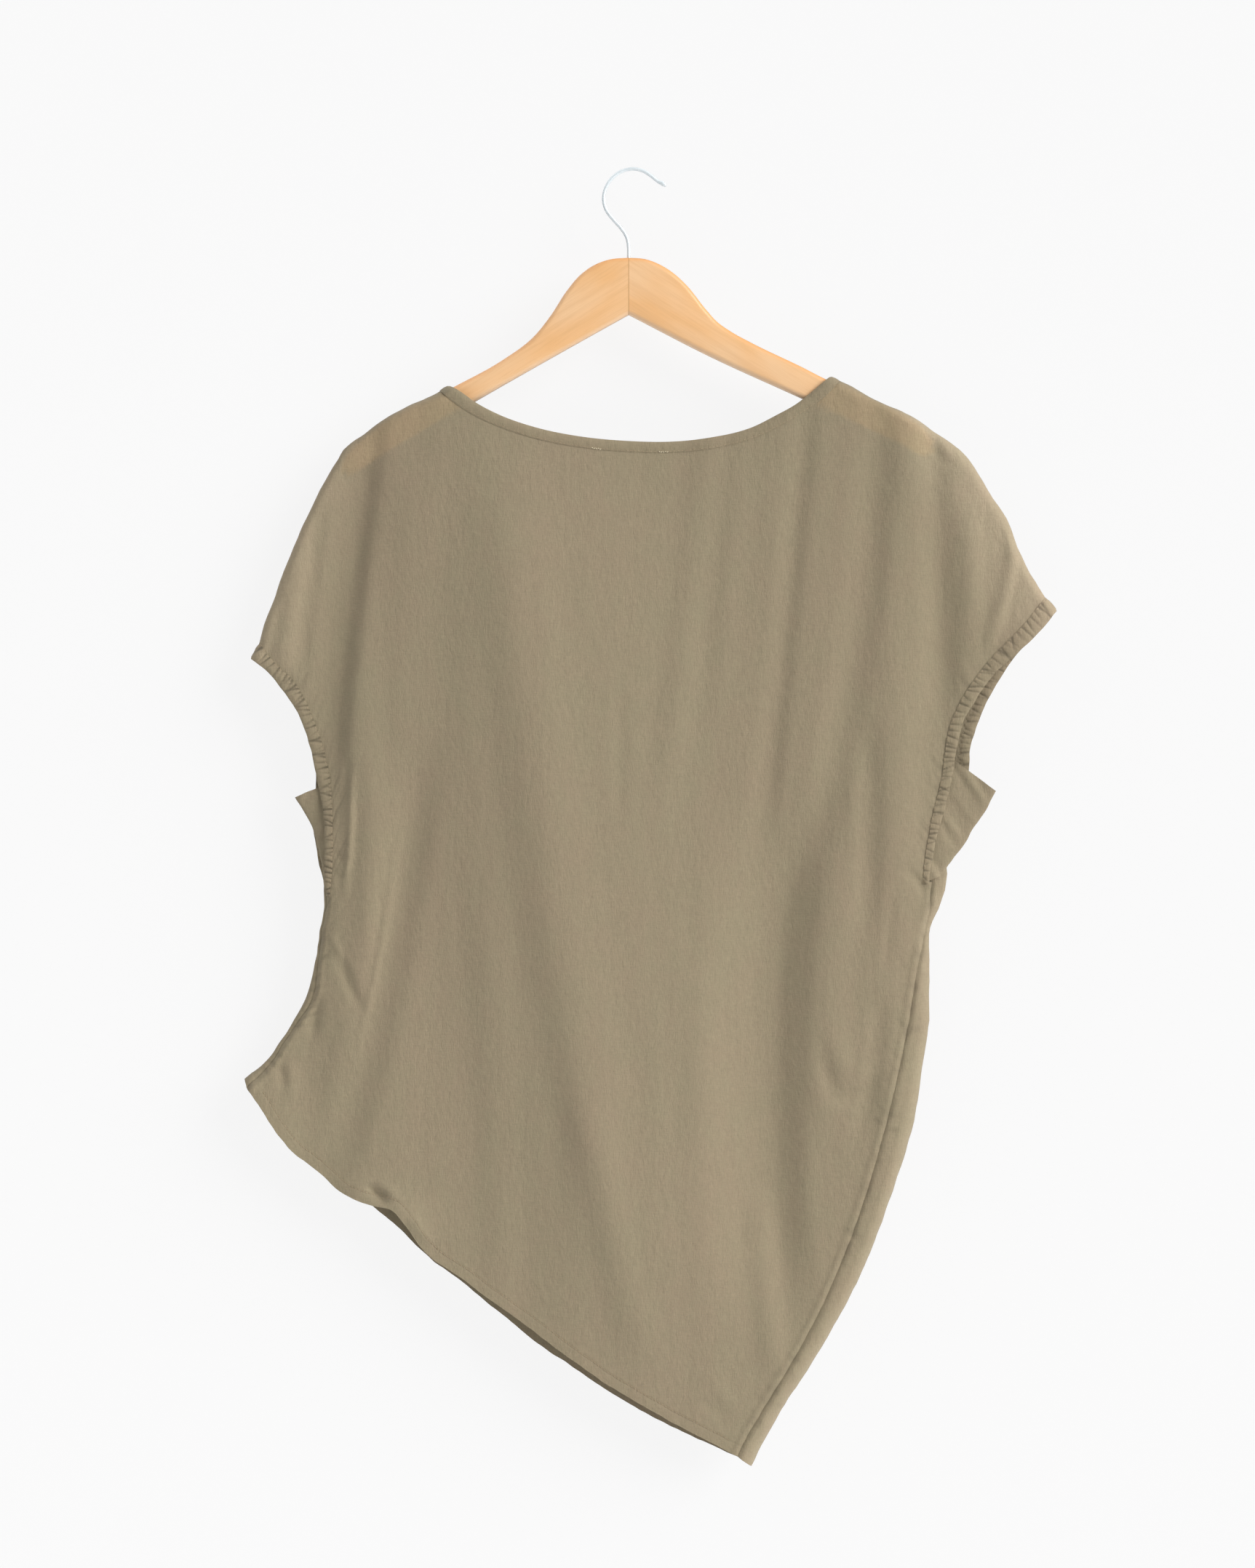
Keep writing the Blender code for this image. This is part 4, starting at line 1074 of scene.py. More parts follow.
def painted_edge_light_share(points):
    """How much painted light brightens the sleeves' outer edges and the right side, standing for light through
    the thin cloth.
    """
    over_shoulder = distance(points, SHOULDER_LINES)
    out = smooth((np.abs(points[..., 0]) - SLEEVE_FROM_X) / SLEEVE_OVER_X)
    sleeve = 0.5 * smooth(1 - over_shoulder / EDGE_GLOW) + 0.5 * smooth(1 - over_shoulder / RIM_GLOW)
    side = SIDE_GLOW * smooth(1 - distance(points, SIDE_LINES[1:]) / RIM_GLOW)
    right = np.maximum(RIGHT_GLOW * out * sleeve, side)
    return np.where(points[..., 0] > 0, right, LEFT_GLOW * out * sleeve)


def even_out(flat, share):
    """Evens out the grid's inner points, by a share for each row, to keep its rows from crossing."""
    for _ in range(EVEN_ROUNDS):
        around = flat[:-2, 1:-1] + flat[2:, 1:-1] + flat[1:-1, :-2] + flat[1:-1, 2:]
        flat[1:-1, 1:-1] += share[None, 1:-1, None] * (around / 4 - flat[1:-1, 1:-1])


def make_panel(name, side, material):
    """A panel's thin cloth. The front one goes on round both side folds to the back seams."""
    columns = panel_columns()
    rows, below = panel_rows()
    wraps = np.array(WRAP_SHARES if side == FRONT else ())
    columns = np.concatenate([-wraps[::-1], columns, 1 + wraps])
    first = len(wraps)
    last = len(columns) - 1 - first
    u, v = np.meshgrid(columns, rows, indexing="ij")
    flat = plan(side, np.clip(u, 0, 1), v)
    even_out(flat[first : last + 1], smooth(1 - np.abs(rows - NOTCH) / EVEN_OVER))
    y = side * np.maximum(stand_off(side, flat), EDGE_HALF)
    # The two panels meet along both shoulders.
    y[first : first + SHOULDER_COLUMNS, 0] = side * EDGE_HALF
    y[last + 1 - SHOULDER_COLUMNS : last + 1, 0] = side * EDGE_HALF
    hem = dense(HEMS[side]["x"], HEMS[side]["z"])
    hem_in = np.full(v.shape, FAR_FROM_HEM)
    hem_in[:, -HEM_ROWS:] = distance(flat[:, -HEM_ROWS:], [hem])
    if side == FRONT:
        lower_v = np.maximum(v, NOTCH)
        for end, wrapped in ((0, -u), (1, u - 1)):
            fold = side_point(end, "fold", lower_v)
            share = np.clip(wrapped, 0, 1)[..., None]
            round_back = fold + (side_point(end, "seam", lower_v) - fold) * share
            round_back[..., 1] += WRAP_LIFT * smooth(1 - (v - NOTCH) / WRAP_LIFT_OVER)
            on_wrap = wrapped > 1e-9
            reached = np.zeros(v.shape)
            tucked = 1 - WRAP_TUCK * smooth(1 - (v[on_wrap] - NOTCH) / WRAP_TUCK_OVER)
            dropped = stand_off(BACK, round_back[on_wrap]) - WRAP_DROP * share[on_wrap, 0]
            reached[on_wrap] = np.maximum(dropped, 0) * tucked
            flat = np.where(on_wrap[..., None], round_back, flat)
            y = np.where(on_wrap, -reached, y)
            up_from_hem = (1 - v) / (1 - NOTCH) * length_of(SIDE_LINES[end])
            hem_in = np.where(on_wrap, up_from_hem, hem_in)
        on_fold = (v >= NOTCH - 1e-9) & ((np.abs(u) < 1e-9) | (np.abs(u - 1) < 1e-9))
        y = np.where(on_fold, 0.0, y)
    dent = panel_puckers(side, flat, v) * smooth((np.abs(y) - PUCKER_FROM_Y) / PUCKER_OVER_Y)
    points = raised(crumpled(flat), y + np.sign(y) * dent)
    outward = np.zeros_like(points)
    outward[first : last + 1, :below] = unit_normals(points[first : last + 1, :below])
    outward[:, below:] = unit_normals(points[:, below:])
    in_hem = smooth((HEM_DEPTH - hem_in) / HEM_STEP + 0.5)
    thick = CLOTH_WALL + (HEM_WALL - CLOTH_WALL) * in_hem
    keep = np.ones((len(columns) - 1, len(rows) - 1), bool)
    keep[:first, :below] = False
    keep[last:, :below] = False
    marks = {
        "hem_in": hem_in,
        "over_wood": over_wood(flat) * (side == BACK),
        # painted light at the sleeves' outer edges and the right side
        "painted_edge_light": painted_edge_light_share(flat),
        # painted shade in the grooves of the panel's small creases
        "painted_crease_shade": np.clip(-dent / DEEP_PUCKER, 0, 1),
    }
    return make_sheet(name, points, outward, thick, material, keep=keep, marks=marks)


def binding_layer(side, seam, edge, across, joined, crumple=True):
    """One panel's half of a binding's middle surface and its outward directions, joined at some rows."""
    flat = seam[:, None] + (edge - seam)[:, None] * across[..., None]
    y = side * np.maximum(stand_off(side, flat), 0)
    y[joined] = 0
    points = raised(crumpled(flat) if crumple else flat, y)
    outward = facing(points, side)
    outward[joined, :, 1] = 0
    return points, unit(outward)


def armhole_middle(end):
    """An armhole binding's middle surface, up the back, over the tip and down the front."""
    places = np.linspace(0, NOTCH, ARMHOLE_PLACES)
    taper = BAND_NARROWED + (1 - BAND_NARROWED) * smooth((UNDERARM - places) / BAND_TAPER)
    parts = []
    for side, order in ((BACK, slice(None, None, -1)), (FRONT, slice(1, None))):
        seam = armhole_point(side, end, "seam", places)
        edge = armhole_point(side, end, "edge", places)
        points, outward = binding_layer(side, seam, edge, BAND_ACROSS * taper[:, None], [0])
        run = (places / UNDERARM * length_of(ARMHOLE_LINES[side, end]))[order, None]
        inward = -BAND_ACROSS * np.linalg.norm(edge - seam, axis=1)[order, None]
        dent = puckers(ARMHOLE_PUCKERS[side, end], run, inward, BAND_PUCKER)
        dent += BAND_CRUMPLE * noise(run, inward, 2.6, 3.5, 61 + side)
        parts.append((points[order], outward[order], dent))
    return [np.concatenate(halves) for halves in zip(*parts)]


def neck_middle():
    """The neck binding's middle surface, along the back and round by the front."""
    places = np.linspace(0, 1, NECK_PLACES)
    parts = []
    for side, order in ((BACK, slice(None)), (FRONT, slice(-2, 0, -1))):
        neck = neck_of(side)
        chords = chord_places(neck["seam_x"], neck["seam_z"])
        seam = along(neck["seam_x"], neck["seam_z"], places, chords)
        edge = along(neck["edge_x"], neck["edge_z"], places, chords)
        layer = binding_layer(side, seam, edge, BAND_ACROSS[None], [0, -1], crumple=False)
        parts.append([half[order] for half in layer])
    middle, outward = (np.concatenate(halves) for halves in zip(*parts))
    run = np.concatenate([[0], np.cumsum(np.linalg.norm(np.diff(middle[:, 0], axis=0), axis=1))])
    dent = puckers(NECK_PUCKERS, run[:, None], -BAND_ACROSS * NECK_BAND_DEPTH, BAND_PUCKER)
    return middle, outward, dent


def plain_marks(points, painted_crease_shade=0.0):
    """The marks of a piece with no hem, away from the hanger."""
    blank = np.zeros(points.shape[:2])
    # painted light at the sleeves' outer edges and the right side
    painted_edge_light = painted_edge_light_share(points[..., [0, 2]])
    # the painted crease shade is passed in, and none by default
    return {"hem_in": blank + FAR_FROM_HEM, "over_wood": blank, "painted_edge_light": painted_edge_light, "painted_crease_shade": blank + painted_crease_shade}


def make_band(name, middle, outward, dent, material, loop=False):
    """A strip folded in two over the cloth's edge."""
    half = np.maximum(BAND_HALF + dent, BAND_LEAST) * (BAND_HALF > 0)
    outer = middle + outward * half[..., None]
    inner = middle - outward * half[..., None]
    section = np.concatenate([outer, inner[:, -2::-1]], axis=1)
    # painted shade in the grooves of the binding's puckers
    crease_shade_share = np.clip(-dent / DEEP_PUCKER, 0, 1)
    marks = plain_marks(section, np.concatenate([crease_shade_share, crease_shade_share[:, -2::-1]], axis=1))
    normals = unit_normals(section, loop)
    return make_sheet(name, section, normals, BINDING_WALL, material, loop=loop, marks=marks)


def band_stitches(name, middle, outward, dent, thread):
    """The line of stitches along a binding's seam."""
    lift = BAND_HALF[SEWN_AT] + dent[:, SEWN_AT] + BINDING_WALL / 2
    line = middle[:, SEWN_AT] + outward[:, SEWN_AT] * lift[:, None]
    return make_stitches(name, line, outward[:, SEWN_AT], thread)


def make_gusset(name, end, outer, material):
    """A folded insert from behind the back binding, out to its fold and back to the front binding."""
    clear = CLOTH_WALL + BINDING_WALL + GUSSET_CLEAR
    shares = np.concatenate([np.linspace(0, 0.86, 22), [0.9, 0.935, 0.96, 0.978, 0.99, 0.997, 1.0]])
    places = np.linspace(0, 1, GUSSET_ROWS)
    rows = GUSSET_TOPS[end] + (GUSSET_LOW - GUSSET_TOPS[end]) * places
    low_x, low_z = GUSSET_ENDS[end]
    fold = along(np.append(outer["x"], low_x), np.append(outer["z"], low_z), places)
    layers = []
    for side in (BACK, FRONT):
        sewn_rows = rows if side == BACK else rows + GUSSET_TUCK * (1 - places) ** 2
        seam = armhole_point(side, end, "seam", sewn_rows)
        edge = armhole_point(side, end, "edge", sewn_rows)
        sewn = seam + (edge - seam) * SEWN_SHARE
        flat = sewn[:, None] + (fold - sewn)[:, None] * shares[None, :, None]
        inside = np.maximum(stand_off(side, sewn), GUSSET_LEAST)[:, None] - clear - GUSSET_FOLD_HALF
        y = inside * (1 - shares) + GUSSET_FOLD_HALF * quarter_round(1 - shares, GUSSET_FOLD_SHARE)
        middle = np.sin(np.pi * np.clip(shares, 0, 1)) ** 0.7
        slant = flat[..., 0] * GUSSET_SLANTS[end] + flat[..., 1]
        y += middle * GUSSET_RUMPLE * noise(slant, flat[..., 0], 9, 60, 50 + end)
        layer = raised(crumpled(flat), side * y)
        layers.append(layer if side == BACK else layer[:, -2::-1])
    points = np.concatenate(layers, axis=1)
    return make_sheet(name, points, unit_normals(points), CLOTH_WALL, material, marks=plain_marks(points))


def make_stitches(name, line, outward, material, pitch=STITCH_PITCH, length=STITCH, radius=THREAD_RADIUS):
    """A row of short stitches of thread, lying along a line on the cloth."""
    steps = np.linalg.norm(np.diff(line, axis=0), axis=1)
    places = np.concatenate([[0], np.cumsum(steps)])
    middles = np.arange(pitch / 2, places[-1] - pitch / 2, pitch)
    rings = np.array([-1.0, -0.82, -0.35, 0.35, 0.82, 1.0]) * length / 2
    swell = np.array([0.3, 0.8, 1.0, 1.0, 0.8, 0.3]) * radius
    sink = np.array([-1.6, -0.6, 0.0, 0.0, -0.6, -1.6]) * radius
    at = middles[:, None] + rings
    centre = np.stack([np.interp(at, places, line[:, axis]) for axis in range(3)], axis=-1)
    up = unit(np.stack([np.interp(middles, places, outward[:, axis]) for axis in range(3)], axis=-1))
    ahead = unit(centre[:, -1] - centre[:, 0])
    beside = unit(np.cross(ahead, up))
    up = np.cross(beside, ahead)
    turns = np.linspace(0, 2 * np.pi, 6, endpoint=False)
    ring = np.cos(turns)[:, None] * beside[:, None, None] + np.sin(turns)[:, None] * up[:, None, None]
    corners = centre[:, :, None] + up[:, None, None] * sink[:, None, None] + ring * swell[:, None, None]
    count = len(middles)
    index = np.arange(count * 36).reshape(count, 6, 6)
    turned = np.roll(index, -1, axis=2)
    quads = np.stack([index[:, :-1], turned[:, :-1], turned[:, 1:], index[:, 1:]], axis=-1).reshape(-1, 4)
    caps = np.concatenate([index[:, 0, ::-1], index[:, -1]])
    return make_mesh(name, corners.reshape(-1, 3), [quads, caps], material)


def hem_stitch_line(side):
    """The line of stitches along a hem, near the top of the turned cloth, and its outward directions."""
    hem = dense(HEMS[side]["x"], HEMS[side]["z"], count=420)
    ahead = unit(np.gradient(hem, axis=0))
    inward = np.stack([-ahead[:, 1], ahead[:, 0]], axis=-1)
    flat = (hem + inward * HEM_SEWN_AT)[8:-9]
    y = side * (stand_off(side, flat) + HEM_WALL / 2 + 0.06)
    line = raised(crumpled(flat), y)
    return line, np.broadcast_to([0.0, side, 0.0], line.shape)


def neck_tacks(middle, thread):
    """Four short cream stitches at each of two places on the back neckline."""
    pieces = []
    back = middle[: len(middle) // 2, SEWN_AT]
    for number, (start_x, end_x) in enumerate(TACKS):
        at = np.linspace(start_x, end_x, TACK_PLACES)
        y, z = (np.interp(at, back[:, 0], back[:, axis]) for axis in (1, 2))
        y -= BAND_HALF[SEWN_AT] + BINDING_WALL / 2 + 0.12
        z += 0.5 * np.sin(np.arange(TACK_PLACES) * 1.9) - 0.4
        line = np.stack([at, y, z], axis=-1)
        up = np.broadcast_to([0.0, -1.0, 0.0], line.shape)
        pieces.append(make_stitches("tack_%d" % number, line, up, thread, pitch=1.9, length=1.6, radius=0.28))
    return pieces


def inset(outline, depth):
    """The outline moved in by depth, its two ends staying on the joint's plane."""
    before = unit(outline - np.roll(outline, 1, axis=0))
    after = unit(np.roll(outline, -1, axis=0) - outline)
    turned = unit(before + after)
    normal = np.stack([turned[:, 1], -turned[:, 0]], axis=-1)
    stretch = 1 / np.maximum((normal * np.stack([after[:, 1], -after[:, 0]], axis=-1)).sum(1), 0.5)
    area = (outline[:, 0] * np.roll(outline[:, 1], -1) - np.roll(outline[:, 0], -1) * outline[:, 1]).sum()
    moved = outline - np.sign(area) * normal * depth * stretch[:, None]
    moved[[0, -1]] = outline[[0, -1]] + [[0, -depth], [0, depth]]
    return moved


def make_wood(name, end, material):
    """Half of the hanger, with rounded edges."""
    outline = wood_outline(end, count=180)
    turns = np.radians(np.linspace(90, 0, 7))
    flat_half = WOOD_THICK / 2 - WOOD_ROUND
    levels = [(-flat_half - WOOD_ROUND * np.sin(t), WOOD_ROUND * (1 - np.cos(t))) for t in turns]
    levels += [(-y, depth) for y, depth in reversed(levels)]
    loops = []
    for y, depth in levels:
        ring = inset(outline, depth)
        loops.append(raised(ring, np.full(len(ring), y)))
    count = len(outline)
    index = np.arange(count * len(loops)).reshape(len(loops), count)
    turned = np.roll(index, -1, axis=1)
    quads = np.stack([index[:-1], index[1:], turned[1:], turned[:-1]], axis=-1).reshape(-1, 4)
    caps = np.stack([index[0], index[-1, ::-1]])
    return make_mesh(name, np.concatenate(loops), [quads, caps], material)


def make_hook(material):
    """The hook as one bent wire, with a rounded tip."""
    x = np.append(HOOK["x"], JOINT_X)
    z = np.append(HOOK["z"], JOINT_TOP_Z - SOCKET_DEPTH + 1)
    swell = np.append(HOOK["swell"], 1.0)
    places = chord_places(x, z)
    tip_end = places[TIP_END_ROW]
    at = np.unique(np.round(np.concatenate([np.linspace(0, tip_end, 9), np.linspace(tip_end, 1, 120)]), 6))
    curve = bpy.data.curves.new("hook_wire_bent", "CURVE")
    curve.dimensions = "3D"
    curve.bevel_depth = WIRE_RADIUS * MM
    curve.bevel_resolution = 6
    curve.use_fill_caps = True
    line = curve.splines.new("POLY")
    line.points.add(len(at) - 1)
    for point, place in zip(line.points, at):
        point.co = (spline(places, x, place) * MM, 0.0, spline(places, z, place) * MM, 1.0)
        point.radius = float(np.interp(place, places, swell))
    curve.materials.append(material)
    hook = bpy.data.objects.new("hook_wire_bent", curve)
    bpy.context.collection.objects.link(hook)
    return hook


def feed(material, made, inputs):
    """Sets a node's inputs. Each value is a number, a colour or another node's output."""
    for name, value in inputs.items():
        if isinstance(value, bpy.types.NodeSocket):
            material.node_tree.links.new(value, made.inputs[name])
        else:
            made.inputs[name].default_value = value


def node(material, kind, inputs=None, **settings):
    """Adds one node with its settings and inputs."""
    made = material.node_tree.nodes.new(kind)
    for name, value in settings.items():
        setattr(made, name, value)
    feed(material, made, inputs or {})
    return made


def new_material(name, inputs):
    """A material and its shader, with the shader's inputs set."""
    material = bpy.data.materials.new(name)
    material.use_nodes = True
    shader = material.node_tree.nodes["Principled BSDF"]
    feed(material, shader, inputs)
    return material, shader


def noise_of(material, scale, detail=2.0, turn=0.0):
    """Noise over the object's own coordinates, with a scale for each axis in features a metre."""
    coordinates = node(material, "ShaderNodeTexCoord").outputs["Object"]
    turned = node(material, "ShaderNodeMapping", {"Vector": coordinates, "Rotation": (0.0, turn, 0.0)})
    mapped = node(material, "ShaderNodeMapping", {"Vector": turned.outputs[0], "Scale": scale})
    texture = node(
        material, "ShaderNodeTexNoise", {"Vector": mapped.outputs[0], "Scale": 1.0, "Detail": detail}
    )
    return texture.outputs["Fac"]


def ranged(material, value, low, high, to_low, to_high):
    made = node(
        material,
        "ShaderNodeMapRange",
        {"Value": value, "From Min": low, "From Max": high, "To Min": to_low, "To Max": to_high},
    )
    return made.outputs["Result"]


def mixed(material, share, first, second, blend="MIX"):
    inputs = {0: share, 6: first, 7: second}
    return node(material, "ShaderNodeMix", inputs, data_type="RGBA", blend_type=blend).outputs[2]


def calculated(material, operation, first, second=0.0):
    return node(material, "ShaderNodeMath", {0: first, 1: second}, operation=operation).outputs[0]


def marked_by(material, label):
    """The mark of that name on the mesh's vertices."""
    return node(material, "ShaderNodeAttribute", attribute_name=label).outputs["Fac"]


def bumped(material, height, strength, distance_mm):
    inputs = {"Height": height, "Strength": strength, "Distance": distance_mm * MM}
    return node(material, "ShaderNodeBump", inputs).outputs[0]


def cloth_material(name, greener, pinker):
    """Thin crinkled cotton: slubs, a fine crinkle, a slow change of colour, painted shade in its creases and
    along its hem's stitch groove, painted light at its edges, and a tint over the hanger that is partly the
    wood showing through and partly painted light.
    """
    inputs = {"Roughness": 0.92, "Sheen Weight": 0.08, "Sheen Roughness": 0.6}
    material, shader = new_material(name, inputs)
    slow = ranged(material, noise_of(material, (11.0, 9.0, 6.0), 2.0), 0.36, 0.64, 0.0, 1.0)
    patches = ranged(material, noise_of(material, (75.0, 60.0, 50.0), 2.0), 0.36, 0.64, 0.0, 1.0)
    base = mixed(material, mixed(material, 0.45, slow, patches), greener, pinker)
    slubs = noise_of(material, (1150.0, 220.0, 300.0), 3.0)
    cross = noise_of(material, (230.0, 220.0, 1250.0), 3.0)
    middle = noise_of(material, (240.0, 80.0, 120.0), 3.0)
    covered = marked_by(material, "over_wood")
    # the wood showing through the cloth, made brighter by painted light on the shoulders
    base = mixed(material, covered, base, mixed(material, 1.0, base, WOOD_SHOW_AND_PAINTED_LIGHT_TINT, "MULTIPLY"))
    # painted light at the cloth's outer edges, standing for light through the thin cloth
    painted_edge_light = marked_by(material, "painted_edge_light")
    base = mixed(material, painted_edge_light, base, mixed(material, 1.0, base, PAINTED_EDGE_LIGHT_TINT, "MULTIPLY"))
    from_seam = calculated(material, "SUBTRACT", marked_by(material, "hem_in"), HEM_SEWN_AT)
    from_line = calculated(material, "ABSOLUTE", from_seam)
    shades = (
        ranged(material, slubs, 0.3, 0.7, 0.945, 1.05),
        ranged(material, cross, 0.3, 0.7, 0.95, 1.045),
        ranged(material, middle, 0.3, 0.7, 0.98, 1.02),
        # painted shade in the grooves of the small creases
        ranged(material, marked_by(material, "painted_crease_shade"), 0.1, 1.0, 1.0, CREASE_SHADE),
        # painted shade along the hem's stitch groove
        ranged(material, from_line, 0.3, 1.4, 0.97, 1.0),
    )
    shade = shades[0]
    for other in shades[1:]:
        shade = calculated(material, "MULTIPLY", shade, other)
    groove = ranged(material, from_line, 0.0, 1.6, 1.0, 0.0)
    height = calculated(material, "MULTIPLY", slubs, 0.45)
    for other, share in ((cross, 0.22), (middle, 0.9), (groove, -0.2)):
        height = calculated(material, "ADD", height, calculated(material, "MULTIPLY", other, share))
    combined = node(material, "ShaderNodeCombineColor", {"Red": shade, "Green": shade, "Blue": shade})
    colour = mixed(material, 1.0, base, combined.outputs[0], "MULTIPLY")
    feed(material, shader, {"Base Color": colour, "Normal": bumped(material, height, 1.0, 0.6)})
    return material


def thread_material(name, colour):
    inputs = {"Roughness": 0.75, "Base Color": colour, "Sheen Weight": 0.1}
    material, shader = new_material(name, inputs)
    twist = noise_of(material, (2600.0, 2600.0, 2600.0), 1.0)
    feed(material, shader, {"Normal": bumped(material, twist, 0.6, 0.1)})
    return material


def wood_material(name, turn):
    """Varnished pine with its grain along the arm, deeper in colour at the joint, with painted shade on its
    upward-facing top edge and painted light on its lower bevel.
    """
    inputs = {"Roughness": 0.42, "Coat Weight": 0.25, "Coat Roughness": 0.2}
    material, shader = new_material(name, inputs)
    grain = noise_of(material, (9.0, 40.0, 260.0), 4.0, turn)
    fibre = noise_of(material, (60.0, 300.0, 1500.0), 2.0, turn)
    slow = noise_of(material, (14.0, 14.0, 34.0), 2.0, turn)
    base = mixed(material, ranged(material, slow, 0.35, 0.65, 0.0, 1.0), WOOD_PALE, WOOD_WARM)
    base = mixed(material, ranged(material, grain, 0.48, 0.70, 0.0, 0.26), base, WOOD_GRAIN)
    base = mixed(material, ranged(material, fibre, 0.50, 0.75, 0.0, 0.22), base, WOOD_GRAIN)
    normal = node(material, "ShaderNodeNewGeometry").outputs["Normal"]
    up = node(material, "ShaderNodeSeparateXYZ", {"Vector": normal}).outputs["Z"]
    # painted shade on the faces turned up, and painted light on the faces turned down
    base = mixed(material, ranged(material, up, 0.05, 0.85, 0.0, 0.8), base, PAINTED_TOP_EDGE_SHADE)
    base = mixed(material, ranged(material, up, -0.2, -0.8, 0.0, 0.6), base, PAINTED_LOW_BEVEL_LIGHT)
    place = node(material, "ShaderNodeTexCoord").outputs["Object"]
    across = node(material, "ShaderNodeSeparateXYZ", {"Vector": place}).outputs["X"]
    from_joint = calculated(material, "ABSOLUTE", calculated(material, "SUBTRACT", across, JOINT_X * MM))
    base = mixed(material, ranged(material, from_joint, 0.15 * MM, 0.6 * MM, 0.55, 0.0), base, WOOD_JOINT)
    feed(material, shader, {"Base Color": base, "Normal": bumped(material, grain, 0.3, 0.12)})
    return material


def wire_material():
    material, shader = new_material("hook_wire_bright", {"Roughness": 0.3, "Metallic": 0.2})
    wear = noise_of(material, (500.0, 500.0, 160.0), 2.0)
    colour = mixed(material, ranged(material, wear, 0.35, 0.7, 0.0, 1.0), WIRE_BRIGHT, WIRE_DULL)
    feed(material, shader, {"Base Color": colour})
    return material


def set_world():
    """A bright even room for light, and a near-white ground for what the camera sees past the stage."""
    world = bpy.data.worlds.new("studio")
    bpy.context.scene.world = world
    world.use_nodes = True
    world.node_tree.nodes.clear()
    lit = node(world, "ShaderNodeBackground", {"Color": WHITE, "Strength": ROOM_LIGHT})
    seen = node(world, "ShaderNodeBackground", {"Color": WHITE, "Strength": ROOM_SEEN})
    by_camera = node(world, "ShaderNodeLightPath").outputs["Is Camera Ray"]
    either = node(world, "ShaderNodeMixShader", {0: by_camera, 1: lit.outputs[0], 2: seen.outputs[0]})
    node(world, "ShaderNodeOutputWorld", {"Surface": either.outputs[0]})


def add_sun(name, toward, strength, spread_degrees, colour):
    """A soft sun that shines from the direction `toward`."""
    light = bpy.data.lights.new(name, "SUN")
    light.energy = strength
    light.angle = np.radians(spread_degrees)
    light.color = colour
    sun = bpy.data.objects.new(name, light)
    sun.rotation_euler = Vector(toward).to_track_quat("Z", "Y").to_euler()
    bpy.context.collection.objects.link(sun)


def add_camera():
    """A level camera in front of the photograph's middle, with its frame on the hook's plane."""
    data = bpy.data.cameras.new("camera")
    data.sensor_fit = "VERTICAL"
    data.sensor_height = 24.0
    data.lens = data.sensor_height * CAMERA_DISTANCE / (PHOTO_HEIGHT * PIXEL)
    camera = bpy.data.objects.new("camera", data)
    middle_x = (PHOTO_WIDTH / 2 - ORIGIN_PIXEL[0]) * PIXEL
    middle_z = (ORIGIN_PIXEL[1] - PHOTO_HEIGHT / 2) * PIXEL
    camera.location = (middle_x * MM, -CAMERA_DISTANCE * MM, middle_z * MM)
    camera.rotation_euler = (np.radians(90), 0.0, 0.0)
    bpy.context.collection.objects.link(camera)
    bpy.context.scene.camera = camera


def plane(name, corners, material):
    mesh = bpy.data.meshes.new(name)
    mesh.from_pydata((np.array(corners) * MM).tolist(), [], [(0, 1, 2, 3)])
    mesh.materials.append(material)
    made = bpy.data.objects.new(name, mesh)
    bpy.context.collection.objects.link(made)
    return made


def add_stage():
    """A pale wall close behind, seen by the camera from its front only, and a pale floor."""
    wall_inputs = {
        "Roughness": 0.9,
        "Base Color": WALL_COLOUR,
        "Specular IOR Level": 0.0,
        "Emission Color": WHITE,
        "Emission Strength": WALL_GLOW,
    }
    wall_paint, wall_shader = new_material("wall_paint", wall_inputs)
    behind = node(wall_paint, "ShaderNodeNewGeometry").outputs["Backfacing"]
    clear = node(wall_paint, "ShaderNodeBsdfTransparent").outputs[0]
    either = node(wall_paint, "ShaderNodeMixShader", {0: behind, 1: wall_shader.outputs[0], 2: clear})
    feed(wall_paint, wall_paint.node_tree.nodes["Material Output"], {"Surface": either.outputs[0]})
    wall_corners = [
        (-WALL_HALF, WALL_Y, FLOOR_Z),
        (WALL_HALF, WALL_Y, FLOOR_Z),
        (WALL_HALF, WALL_Y, WALL_TOP),
        (-WALL_HALF, WALL_Y, WALL_TOP),
    ]
    wall = plane("wall", wall_corners, wall_paint)
    wall.visible_shadow = False
    wall.visible_diffuse = False
    wall.visible_glossy = False
    wall.visible_transmission = False
    floor_inputs = {"Roughness": 0.8, "Base Color": FLOOR_COLOUR, "Specular IOR Level": 0.1}
    floor_corners = [
        (-FLOOR_HALF, -FLOOR_HALF, FLOOR_Z),
        (FLOOR_HALF, -FLOOR_HALF, FLOOR_Z),
        (FLOOR_HALF, FLOOR_HALF, FLOOR_Z),
        (-FLOOR_HALF, FLOOR_HALF, FLOOR_Z),
    ]
    plane("floor", floor_corners, new_material("floor_paint", floor_inputs)[0])


def dress(piece, node_name=None):
    """Makes the piece part of the row, and stands it in for the CAD's plain one."""
    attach(piece, "root")
    if node_name:
        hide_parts(node_name)


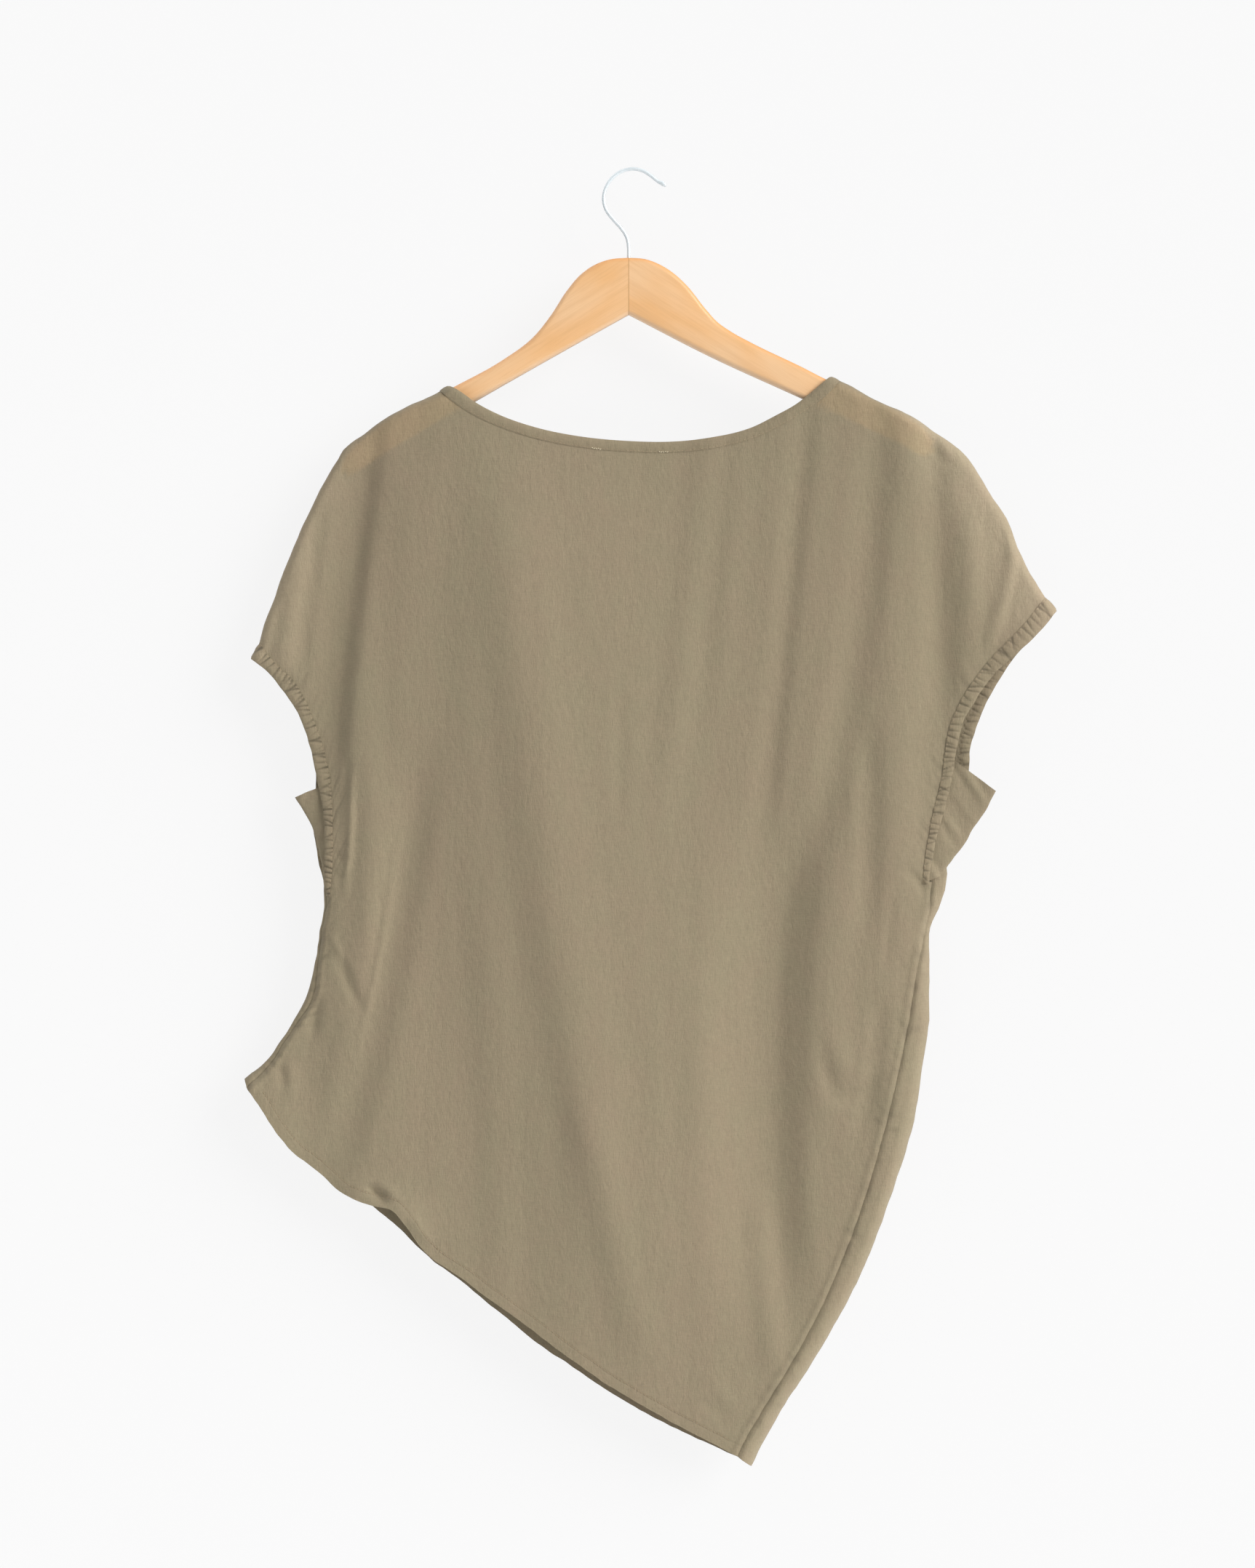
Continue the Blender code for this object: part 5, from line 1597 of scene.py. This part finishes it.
def make_cloth_pieces():
    cloth = cloth_material("cloth", CLOTH_GREENER, CLOTH_PINKER)
    strip = cloth_material("binding_cloth", BINDING_GREENER, BINDING_PINKER)
    thread = thread_material("thread", THREAD_COLOUR)

    back = make_panel("back_cloth", BACK, cloth)
    dress(back, "back_panel")
    front = make_panel("front_cloth", FRONT, cloth)
    dress(front, "front_panel")
    for side, panel, flat, area in ((BACK, back, (0.59, 0.795), 0.305), (FRONT, front, (0.62, 0.805), 0.33)):
        line, outward = hem_stitch_line(side)
        sewing = make_stitches("hem_stitches_" + ("back" if side == BACK else "front"), line, outward, thread)
        dress(sewing)

    middle, outward, dent = neck_middle()
    neck = make_band("neck_band", middle, outward, dent, strip, loop=True)
    dress(neck, "neck_binding")
    sewing = band_stitches("neck_stitches", middle, outward, dent, thread)
    tacks = neck_tacks(middle, thread_material("tack_thread", TACK_COLOUR))
    for piece in (sewing, *tacks):
        dress(piece)

    for end, word, outer in ((0, "left", GUSSET_LEFT), (1, "right", GUSSET_RIGHT)):
        middle, outward, dent = armhole_middle(end)
        band = make_band("armhole_band_" + word, middle, outward, dent, strip)
        dress(band, "armhole_binding_" + word)
        sewing = band_stitches("armhole_stitches_" + word, middle, outward, dent, thread)
        dress(sewing)
        gusset = make_gusset("gusset_" + word, end, outer, cloth)
        dress(gusset, "underarm_gusset_" + word)


def make_hanger_pieces():
    for end, word, turn in ((0, "left", ARM_SLOPE), (1, "right", -ARM_SLOPE)):
        half = make_wood("wood_" + word, end, wood_material("wood_" + word, turn))
        dress(half, "hanger_half_" + word)
    hook = make_hook(wire_material())
    dress(hook, "hook")


make_cloth_pieces()
make_hanger_pieces()
bpy.context.scene.view_settings.view_transform = "Standard"
set_world()
add_sun("key", (1.0, -0.62, 0.5), KEY_LIGHT, 45.0, (1.0, 0.99, 0.975))
add_sun("top_fill", (-0.65, -0.12, 0.9), TOP_LIGHT, 60.0, (1.0, 1.0, 1.0))
add_sun("back_fill", (-0.5, 0.8, 0.35), BACK_LIGHT, 60.0, (1.0, 1.0, 1.0))
add_stage()
add_camera()
